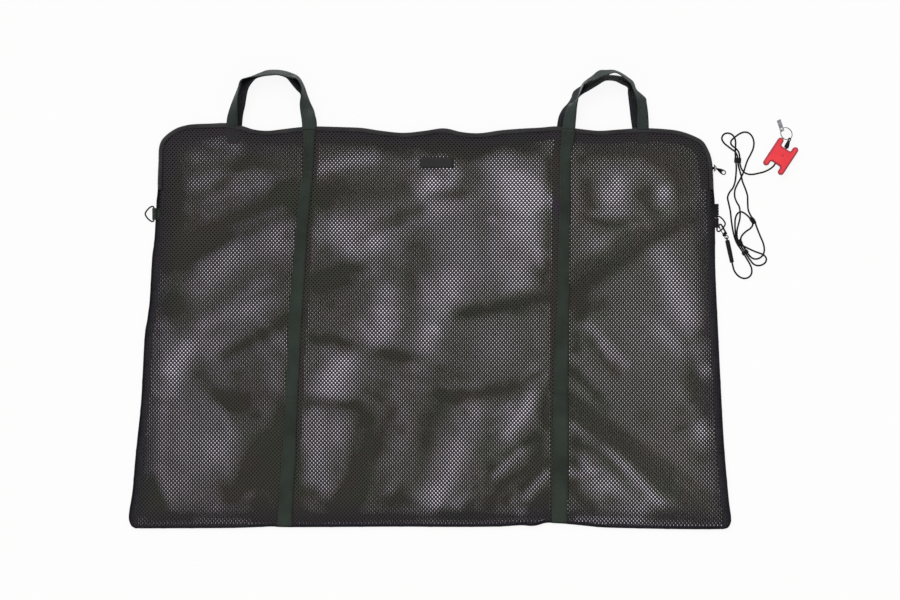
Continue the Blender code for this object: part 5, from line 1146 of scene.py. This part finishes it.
def frameOf(x, y, place):      # a frame with these x and y directions at the place
    turn = Matrix((x, y, x.cross(y))).transposed().to_4x4()
    turn.translation = Vector(place)
    return turn


def axesAt(place, along, up=(0.0, 0.0, 1.0)):      # a frame whose x runs along and whose z is nearest up
    x = Vector(along).normalized()
    return frameOf(x, Vector(up).cross(x).normalized(), place)


def smoothCorners(places, cut=0.8, steps=4, gapAlong=2.5):      # an outline with its corners rounded
    result = []
    count = len(places)
    for index in range(count):
        before, here, after = (Vector(places[k % count]) for k in (index - 1, index, index + 1))
        gap = (after - here).length
        reach = min(cut, (before - here).length * 0.45, gap * 0.45)
        start = here + (before - here).normalized() * reach
        end = here + (after - here).normalized() * reach
        for t in [step / steps for step in range(steps + 1)]:
            result.append(tuple(start * (1 - t) ** 2 + here * 2 * t * (1 - t) + end * t ** 2))
        extras = int(gap // gapAlong)
        for spot in [here + (after - here) * (extra / extras) for extra in range(1, extras)]:
            if (spot - here).length > reach and (spot - after).length > reach:
                result.append(tuple(spot))
    return result


def ringPlate(name, corners, hole, radius, thickness, place, material, rounding):      # a flat plate with one hole
    outer = smoothCorners(corners)
    rows = []
    half, edge = thickness / 2, thickness / 2 - rounding
    for index, (x, y) in enumerate(outer):
        before, after = outer[index - 1], outer[(index + 1) % len(outer)]
        run = Vector((after[0] - before[0], after[1] - before[1]))
        inX, inY = x - run.y / run.length * rounding, y + run.x / run.length * rounding
        angle = atan2(y - hole[1], x - hole[0])
        (nearX, nearY), (edgeX, edgeY) = ((hole[0] + reach * cos(angle), hole[1] + reach * sin(angle))
            for reach in (radius, radius + rounding))
        rows.append([tuple(place @ Vector(spot)) for spot in (
            (inX, inY, half), (x, y, edge), (x, y, -edge), (inX, inY, -half), (edgeX, edgeY, -half),
            (nearX, nearY, -edge), (nearX, nearY, edge), (edgeX, edgeY, half))])
    mesh = closeMesh(stripMesh(name, rows + [rows[0]], closedAcross=True), merge=True)
    for face in mesh.polygons:
        face.use_smooth = False
    return link(name, mesh, material)


def roundedBlock(name, low, high, place, material, rounding):
    shape = bmesh.new()
    bmesh.ops.create_cube(shape, size=1.0)
    for vert in shape.verts:
        vert.co = [low[k] + (vert.co[k] + 0.5) * (high[k] - low[k]) for k in range(3)]
    bmesh.ops.bevel(shape, geom=shape.edges[:], offset=rounding, segments=3, affect="EDGES", profile=0.5)
    for vert in shape.verts:
        vert.co = (place @ vert.co) * mm
    return link(name, finishShape(shape, bpy.data.meshes.new(name)), material)


# zip slider where the right corner begins: two plates, a post between and a bridge for the puller
slider = {"place": (565.7, 263.0, 6.3), "near": 1.8, "far": 3.3, "bridge": 5.9, "wire": 0.85, "outer": (7.0, 5.2),
    "inner": (6.0, 2.9), "post": (2.6, 0.3)}
sliderFrame = axesAt(slider["place"], (1.0, 0.0, 0.0))
near, far, bridge = (slider[key] for key in ("near", "far", "bridge"))
plates = [roundedBlock(part, (low, -y, -z), (high, y, z), sliderFrame, darkSteel, rounding)
    for part, low, high, rounding in (
        ("outer", near, far, 0.6), ("inner", -far, -near, 0.5), ("post", -2.6, near + 0.5, 0.1))
    for y, z in [slider[part]]]
bridgeLine = [(far - 0.4, 4.2, 0.0), (far + 1.2, 4.1, 0.0), (bridge - 0.3, 3.2, 0.0)]
bridgeLine = [(x, -y, z) for x, y, z in bridgeLine] + [(bridge, 0.0, 0.0)] + bridgeLine[::-1]
bridgeWire = tube("bridge", [tuple(sliderFrame @ Vector(spot)) for spot in smoothLine(bridgeLine, 0.5)],
    slider["wire"], darkSteel)
settle(joinPieces("zipSlider", *plates, bridgeWire), "slider", "dark_metal", "zip_slider")

# puller: an eye round the bridge, a waisted neck and a tab that widens to its open end
puller = {"along": (0.862, -0.507, 0.0), "thickness": 1.7, "rounding": 0.35, "holeAt": 17.3, "hole": 2.8, "rim": 3.7,
    "rimWire": 1.0, "eye": 1.85, "eyeWire": 0.55,
    "half": ((1.6, 1.4), (4.5, 2.4), (8.0, 3.6), (12.5, 4.8), (17.3, 5.3), (20.6, 4.2), (22.2, 2.2))}
pullerPivot = sliderFrame @ Vector((bridge, 0.0, 0.0))
pullerFrame = axesAt(pullerPivot, puller["along"])
pullerX, pullerY = (pullerFrame.to_3x3().col[k].copy() for k in (0, 1))
pullerHalf, holeAt = puller["half"], puller["holeAt"]
pullerOutline = [*((x, -y) for x, y in pullerHalf), (22.6, 0.0), *pullerHalf[::-1]]
pullerTab = ringPlate("pullerTab", pullerOutline, (holeAt, 0.0), puller["hole"], puller["thickness"], pullerFrame,
    darkSteel, puller["rounding"])
pullerEye = tube("pullerEye", circle(pullerPivot, Vector((1.0, 0.0, 0.0)), Vector((0.0, 0.0, 1.0)), puller["eye"],
    28), puller["eyeWire"], darkSteel, 10, closed=True)
pullerRim = tube("pullerRim", circle(pullerFrame @ Vector((holeAt, 0.0, 0.0)), pullerX, pullerY, puller["rim"], 32),
    puller["rimWire"], nickelSteel, 10, closed=True)
settle(joinPieces("zipPuller", pullerTab, pullerEye, pullerRim), "puller", "dark_metal", "zip_puller")
print("the zip slider is on")

# snap hook: u runs from its swivel to its nose and v from its gate to its spine
snap = {"turn": 120.0, "pitch": 10.0, "roll": -45.0, "onRing": 10.8, "spine": 4.9, "spineWire": 1.75, "nose": 6.0,
    "thinning": 0.16, "thinFrom": 0.55, "gateFrom": -8.6, "gateTo": 4.9, "eyeAt": -18.6, "eye": 3.4, "eyeWire": 0.95}
barX, middleY, _, tilt = ring["right"]
onRing, spine = snap["onRing"], snap["spine"]
turn, pitch, roll = (radians(snap[key]) for key in ("turn", "pitch", "roll"))
tilt = radians(tilt)
snapU = Vector((cos(turn) * cos(pitch), sin(turn) * cos(pitch), sin(pitch)))
level = Vector((snapU.y, -snapU.x, 0.0)).normalized()
snapFrame = frameOf(snapU, level * cos(roll) + level.cross(snapU) * sin(roll), (
    barX + onRing * cos(tilt), middleY - onRing, tab["barZ"] + onRing * sin(tilt)))


def onSnap(u, v):
    return snapFrame @ Vector((u, v, 0.0))


def spineWire(t):      # the hook's wire thins towards its nose
    thin = max(0.0, (t - snap["thinFrom"]) / (1.0 - snap["thinFrom"]))
    return snap["spineWire"] * (1.0 - snap["thinning"] * thin)


hookLine = [(-11.0, spine), (-6.0, spine), (0.0, spine), (5.0, spine)]
hookLine += [(snap["nose"] + spine * sin(pi * k / 8), spine * cos(pi * k / 8)) for k in range(1, 9)] + [(5.4, -spine)]
settle(joinPieces("snapHook", tube("spine", smoothLine([tuple(onSnap(u, v)) for u, v in hookLine], 0.7), spineWire,
    blackNickel, 16), roundedBlock("base", (-14.0, -6.1, -2.2), (-9.0, 5.9, 2.2), snapFrame, blackNickel, 0.9)),
    "snap", "steel", "snap_hook")
gateFrom, gateTo = onSnap(snap["gateFrom"], -spine), onSnap(snap["gateTo"], -spine)
settle(lathe("snapGate", pairUp((0.0, 0.0, 0.0, 0.8, 0.3, 1.0, 2.0, 1.0, 2.3, 0.85, 11.0, 0.85, 11.4, 1.0, 13.2, 1.0,
    13.5, 0.75, 13.5, 0.0)), gateFrom, gateTo - gateFrom, blackNickel, 18), "gate", "steel", "snap_gate")
eyeCentre = onSnap(snap["eyeAt"], 0.0)
settle(joinPieces("snapSwivel", lathe("stud", pairUp((2.7, 0.0, 2.7, 1.5, 3.1, 1.9, 4.0, 1.9, 4.25, 1.2, 9.25, 1.2,
    9.95, 1.2, 9.95, 2.1, 10.2, 2.4, 10.8, 2.3, 11.0, 1.8, 11.0, 0.0)), eyeCentre, snapU, blackNickel, 20),
    tube("eye", circle(eyeCentre, snapU, level, snap["eye"], 36), snap["eyeWire"], blackNickel, closed=True)), "sack",
    "steel", "snap_swivel")

# rubber sleeve over the cord's clipped end, ribbed near its mouth, with the loop that hangs in the swivel's eye
sleeve = {"radius": 4.5, "ribs": 5, "ribStep": 2.6, "ribDepth": 0.5, "taper": 0.03, "mouth": 1.7, "loopAt": 4.1,
    "loop": 3.3, "loopWire": 1.25}
sleeveReach = (sleeveEnd - eyeCentre).length
sleeveAlong = (sleeveEnd - eyeCentre).normalized()
profile = [(5.5, 0.0), (5.5, 2.7), (6.0, 3.6), (7.0, 4.2), (9.0, 4.5), (sleeveReach - 16.0, sleeve["radius"])]
for k in range(sleeve["ribs"]):
    base = sleeveReach - 15.0 + k * sleeve["ribStep"]
    size = sleeve["radius"] - sleeve["taper"] * k
    groove = size - sleeve["ribDepth"]
    profile += [(base, size), (base + 0.4, groove), (base + 1.0, groove), (base + 1.4, size - 0.05)]
profile += [(sleeveReach - 0.6, 4.0), (sleeveReach, 3.4), (sleeveReach, sleeve["mouth"]), (sleeveReach - 6.0, 1.6),
    (sleeveReach - 6.0, 0.0)]
sleeveSide = Vector((0.0, 0.0, 1.0)).cross(sleeveAlong).normalized()
cordSleeve = settle(joinPieces("cordSleeve", lathe("body", profile, eyeCentre, sleeveAlong, rubber), tube("loop",
    circle(eyeCentre + sleeveAlong * sleeve["loopAt"], sleeveAlong, sleeveAlong.cross(sleeveSide), sleeve["loop"],
    32), sleeve["loopWire"], rubber, closed=True)), "sack", "black_rubber", "cord_sleeve")

# two flat rubber ties round the gathered cord
tie = {"low": 0.75, "high": 5.5, "wall": 0.8, "bulge": 0.18}


def hankTie(name, node, middle, along, halfAcross, halfWidth):
    run = Vector((*along, 0.0)).normalized()
    across = Vector((-run.y, run.x, 0.0))
    low, high = tie["low"], tie["high"]
    rows = []
    for step in range(7):
        shift = (step / 6 - 0.5) * 2 * halfWidth
        radius = (high - low) / 2 + tie["bulge"] * cos(pi * (step / 6 - 0.5))
        row = []
        for k in range(32):
            turned, risen = cos(tau * k / 32), sin(tau * k / 32)
            flat = (halfAcross - (high - low) / 2) * (1 if turned > 0.01 else -1 if turned < -0.01 else 0)
            place = Vector((*middle, (low + high) / 2 + radius * risen))
            row.append(tuple(place + across * (flat + radius * turned) + run * shift))
        rows.append(row)
    item = link(name, closeMesh(stripMesh(name, rows, closedAcross=True)), rubber)
    wall = item.modifiers.new("wall", "SOLIDIFY")
    wall.thickness = tie["wall"] * mm
    wall.offset = 0.0
    return settle(item, "sack", "black_rubber", node)


hankTieUpper = hankTie("hankTieUpper", "hank_tie_upper", (615.1, 278.6), (0.05, 1.0), 6.5, 5.0)
hankTieLower = hankTie("hankTieLower", "hank_tie_lower", (629.9, 94.3), (-0.553, 0.833), 6.4, 3.4)

# two short wraps of the same cord, which the photo shows as dark lumps on the strands
wrap = {"wire": 1.5, "pitch": 2.9, "low": 1.5, "high": 6.6, "steps": 20, "closer": 1.4, "square": 0.12}


def strandWrap(name, middle, along, halfAcross, turns):
    run = Vector((*along, 0.0)).normalized()
    across = Vector((-run.y, run.x, 0.0))
    low, high, steps = (wrap[key] for key in ("low", "high", "steps"))
    line = []
    for index in range(turns * steps + 1):
        angle = tau * index / steps
        share = index / (turns * steps) - 0.5
        narrow = 1.0 - wrap["closer"] * share * share      # the wraps at both ends lie closer
        sideways = halfAcross * narrow * cos(angle) * (1.0 + wrap["square"] * cos(2 * angle))
        place = Vector((*middle, low + (high - low) / 2 * (1.0 + sin(angle))))
        line.append(tuple(place + across * sideways + run * share * turns * wrap["pitch"]))
    return settle(tube(name, line, wrap["wire"], cordBraid, 10), "sack", "cord_braid")


strandWrapLower = strandWrap("strandWrapLower", (618.6, 113.5), (0.45, -0.89), 4.6, 4)
strandWrapSide = strandWrap("strandWrapSide", (645.0, 158.5), (0.58, -0.81), 3.4, 5)
print("the snap, sleeve and ties are made")

# float: H-shaped EVA foam, its edges rounded by the knife, bored for the cord
foam = {"centre": (700.8, 286.5, 6.0), "turn": 56.8, "bar": 26.05, "pitch": 17.5, "end": 6.0, "web": 18.0,
    "thickness": 12.0, "rounding": 3.0, "bore": 1.9, "boreAlong": (0.577, 0.817, 0.0), "boreBy": (-0.6, 0.2, 0.0),
    "boreLength": 70.0, "step": 2.0}


def floatOutline():
    bar, pitch, end, web = (foam[key] for key in ("bar", "pitch", "end", "web"))
    angles = [pi / 2 - pi / 2 * k / 8 for k in range(9)] + [-pi / 2 * k / 8 for k in range(1, 9)]
    inner = pitch - end
    quarter = [(bar + end * cos(angle), pitch + end * sin(angle)) for angle in angles]
    quarter += [(web + 3.0, inner), (web + 1.6, inner - 0.4), (web + 0.4, inner - 1.6), (web, inner - 3.0)]
    line = quarter + [(x, -y) for x, y in reversed(quarter)]
    line += [(-x, -y) for x, y in quarter] + [(-x, y) for x, y in reversed(quarter)]
    dense = []
    for place, after in zip(line, line[1:] + line[:1]):
        steps = max(int(dist(place, after) / foam["step"]), 1)
        dense += [tuple(a + (b - a) * k / steps for a, b in zip(place, after)) for k in range(steps)]
    return dense


def makeFloat():
    line = floatOutline()
    turn = radians(foam["turn"])
    place = axesAt(foam["centre"], (cos(turn), sin(turn), 0.0))
    half, rounding = foam["thickness"] / 2, foam["rounding"]
    levels = [(rounding * 1.6, half, 0.0)]      # how far in, how high and how much painted shade
    levels += [(rounding * (1 - sin(pi / 2 * k / 5)), half - rounding * (1 - cos(pi / 2 * k / 5)), 0.4 + 0.12 * k)
        for k in range(6)]
    levels += [(inset, -height, tone) for inset, height, tone in reversed(levels)]
    shape = bmesh.new()
    toneLayer = shape.verts.layers.float.new("tone")
    count = len(line)
    runs = [(Vector(line[(index + 2) % count]) - Vector(line[index - 2])).normalized() for index in range(count)]
    rings = []
    for inset, height, tone in levels:
        rings.append([shape.verts.new((place @ Vector((x + run.y * inset, y - run.x * inset, height))) * mm)
            for (x, y), run in zip(line, runs)])
        for vert in rings[-1]:
            vert[toneLayer] = tone
    for first, second in zip(rings, rings[1:]):
        for index in range(count):
            after = (index + 1) % count
            shape.faces.new((first[index], first[after], second[after], second[index])).smooth = True
    shape.faces.new(rings[0])
    shape.faces.new(rings[-1])
    item = link("floatBody", finishShape(shape, bpy.data.meshes.new("floatBody")), evaFoam)
    along, length = Vector(foam["boreAlong"]).normalized(), foam["boreLength"]
    middle = Vector(foam["centre"]) + Vector(foam["boreBy"])
    drill = lathe("drill", ((0.0, 0.0), (0.0, foam["bore"]), (length, foam["bore"]), (length, 0.0)),
        middle - along * length / 2, along, evaFoam, 20)
    cut = item.modifiers.new("bore", "BOOLEAN")
    cut.operation = "DIFFERENCE"
    cut.solver = "EXACT"
    cut.object = drill
    bpy.context.view_layer.update()
    bored = bpy.data.meshes.new_from_object(item.evaluated_get(bpy.context.evaluated_depsgraph_get()))
    item.modifiers.clear()
    item.data = bored
    bpy.data.objects.remove(drill, do_unlink=True)
    return item


floatBody = settle(makeFloat(), "sack", "red_foam", "float")
floatDimpleShade = settle(lathe("floatDimpleShade", ((0.0, 0.0), (0.0, 1.8), (0.25, 1.8), (0.45, 1.5), (0.45, 0.0)),
                         (704.0, 288.1, 11.75), (0.0, 0.0, 1.0), evaDimpleShade, 20, (0.0, 1.0, 0.0)),
                   "sack", "red_foam", "float")      # a darker disc, painted shade for the small dimple in the float's top

# split ring: two turns of flat-wound spring wire, tipped as it lies on the bead's loop
split = {"centre": (712.0, 331.7, 7.6), "slope": (-0.419, -0.30), "radius": 12.8, "wire": 0.55, "lead": 1.1,
    "steps": 120, "from": 2.0, "crossing": 14.0}
splitCentre, (slopeX, slopeY) = Vector(split["centre"]), split["slope"]
splitNormal = Vector((-slopeX, -slopeY, 1.0)).normalized()
sideOne = Vector((1.0, 0.0, slopeX)).normalized()
sideTwo = splitNormal.cross(sideOne)


def onSplitRing(x, y):      # the wire's place towards x and y, and the way that it runs there
    reach = Vector((x, y, slopeX * x + slopeY * y)).normalized()
    return splitCentre + reach * split["radius"], splitNormal.cross(reach).normalized()


splitLine = []
for k in range(split["steps"] + 1):
    share = k / split["steps"]
    angle = tau * 2 * share + split["from"]
    climb = split["lead"] * 0.5 * tanh((share - 0.5) * split["crossing"])
    around = (sideOne * cos(angle) + sideTwo * sin(angle)) * split["radius"]
    splitLine.append(tuple(splitCentre + around + splitNormal * climb))
splitRing = settle(tube("splitRing", splitLine, split["wire"], springSteel, 10), "split_ring_body", "steel",
    "split_ring")

# bead: moulded rubber over the cord's other end, its loop round the split ring's wire
bead = {"loopBack": 0.7, "loop": 3.1, "loopWire": 1.25, "short": 2.8}
hold, wireRun = onSplitRing(0.466, -0.884)
beadSide = (wireRun - beadAlong * wireRun.dot(beadAlong)).normalized()
loopCentre = hold - beadAlong * bead["loopBack"]
beadRun = (loopCentre - beadStart).normalized()
beadReach = (loopCentre - beadStart).length - bead["short"]
floatBead = settle(joinPieces("floatBead", lathe("bead", pairUp((6.0, 0.0, 6.0, 1.7, 1.5, 1.8, 1.5, 3.7, 1.9, 4.3,
    2.8, 4.6, 7.2, 4.5, 8.6, 4.3, 9.2, 4.0, 9.8, 4.05, 12.0, 3.6, 14.0, 3.2, beadReach, 2.7, beadReach, 0.0)),
    beadStart, beadRun, rubber), tube("beadLoop", circle(loopCentre, beadRun, beadRun.cross(beadSide).normalized(),
    bead["loop"], 30), bead["loopWire"], rubber, 10, closed=True)), "sack", "black_rubber", "float_bead")

# tag: a plain rounded plate on the split ring, nothing stamped on it
tag = {"along": (-0.28, 0.92, -0.24), "hole": 2.6, "thickness": 0.8, "rounding": 0.2, "slipped": 0.6}
tagHold, tagWire = onSplitRing(-0.74, 0.675)
tagAlong = Vector(tag["along"]).normalized()
wireSide = (tagWire - tagAlong * tagWire.dot(tagAlong)).normalized()
flatSide = tagAlong.cross(wireSide)
if flatSide.z < 0.0:
    flatSide = -flatSide
tagFrame = axesAt(tagHold + tagAlong * tag["slipped"], tagAlong, (flatSide * 0.6 + wireSide * 0.8).normalized())
tagPlate = settle(ringPlate("tagPlate", [(-5.0, -4.4), (20.0, -4.4), (20.0, 4.4), (-5.0, 4.4)], (0.0, 0.0),
    tag["hole"], tag["thickness"], tagFrame, nickelSteel, tag["rounding"]), "tag_body", "steel", "tag")
print("the float, ring and tag are made")

# floor: a pale board, white to the camera, that still takes the sack's shadow
stage = {"floorSize": 12.0, "floorZ": -0.0004, "floorColour": "#f4f4f2", "cameraShare": 0.9, "world": 0.62,
    "lampPower": 1.35, "lampAngle": 50.0, "lampTurn": (-38.0, -30.0, 0.0)}
whiteLight = (1.0, 1.0, 1.0, 1.0)


def startRays(tree, *kinds):      # 1 for the rays that should see white
    tree.nodes.clear()
    rays = addNode(tree, "ShaderNodeLightPath")
    seen = rays.outputs["Is Camera Ray"]
    for kind in kinds:
        seen = addNode(tree, "ShaderNodeMath", {0: seen, 1: rays.outputs[kind]}, operation="MAXIMUM").outputs[0]
    return seen


floorMaterial = bpy.data.materials.new("matt_white_board")
floorMaterial.use_nodes = True
tree = floorMaterial.node_tree
seen = startRays(tree, "Is Glossy Ray", "Is Transmission Ray")
share = addNode(tree, "ShaderNodeMath", {0: seen, 1: stage["cameraShare"]}, operation="MULTIPLY")
board = addNode(tree, "ShaderNodeBsdfDiffuse", {"Color": paint(stage["floorColour"])})
glow = addNode(tree, "ShaderNodeEmission", {"Color": whiteLight, "Strength": 1.0})
mixed = addNode(tree, "ShaderNodeMixShader", {0: share.outputs[0], 1: board.outputs[0], 2: glow.outputs[0]})
addNode(tree, "ShaderNodeOutputMaterial", {"Surface": mixed.outputs[0]})
size, level = stage["floorSize"] / 2, stage["floorZ"]
floorMesh = bpy.data.meshes.new("floor")
floorMesh.from_pydata([(-size, -size, level), (size, -size, level), (size, size, level), (-size, size, level)], [],
    [(0, 1, 2, 3)])
link("floor", floorMesh, floorMaterial)

world = bpy.context.scene.world or bpy.data.worlds.new("studio")
bpy.context.scene.world = world
world.use_nodes = True
tree = world.node_tree
seen = startRays(tree, "Is Transmission Ray")
room, white = (addNode(tree, "ShaderNodeBackground", {"Color": whiteLight, "Strength": strength})
    for strength in (stage["world"], 1.0))
mixed = addNode(tree, "ShaderNodeMixShader", {0: seen, 1: room.outputs[0], 2: white.outputs[0]})
addNode(tree, "ShaderNodeOutputWorld", {"Surface": mixed.outputs[0]})
lamp = link("softbox", bpy.data.lights.new("softbox", "SUN"))
lamp.data.energy = stage["lampPower"]
lamp.data.angle = radians(stage["lampAngle"])
lamp.rotation_euler = [radians(turned) for turned in stage["lampTurn"]]
print("the board and lamps are set")
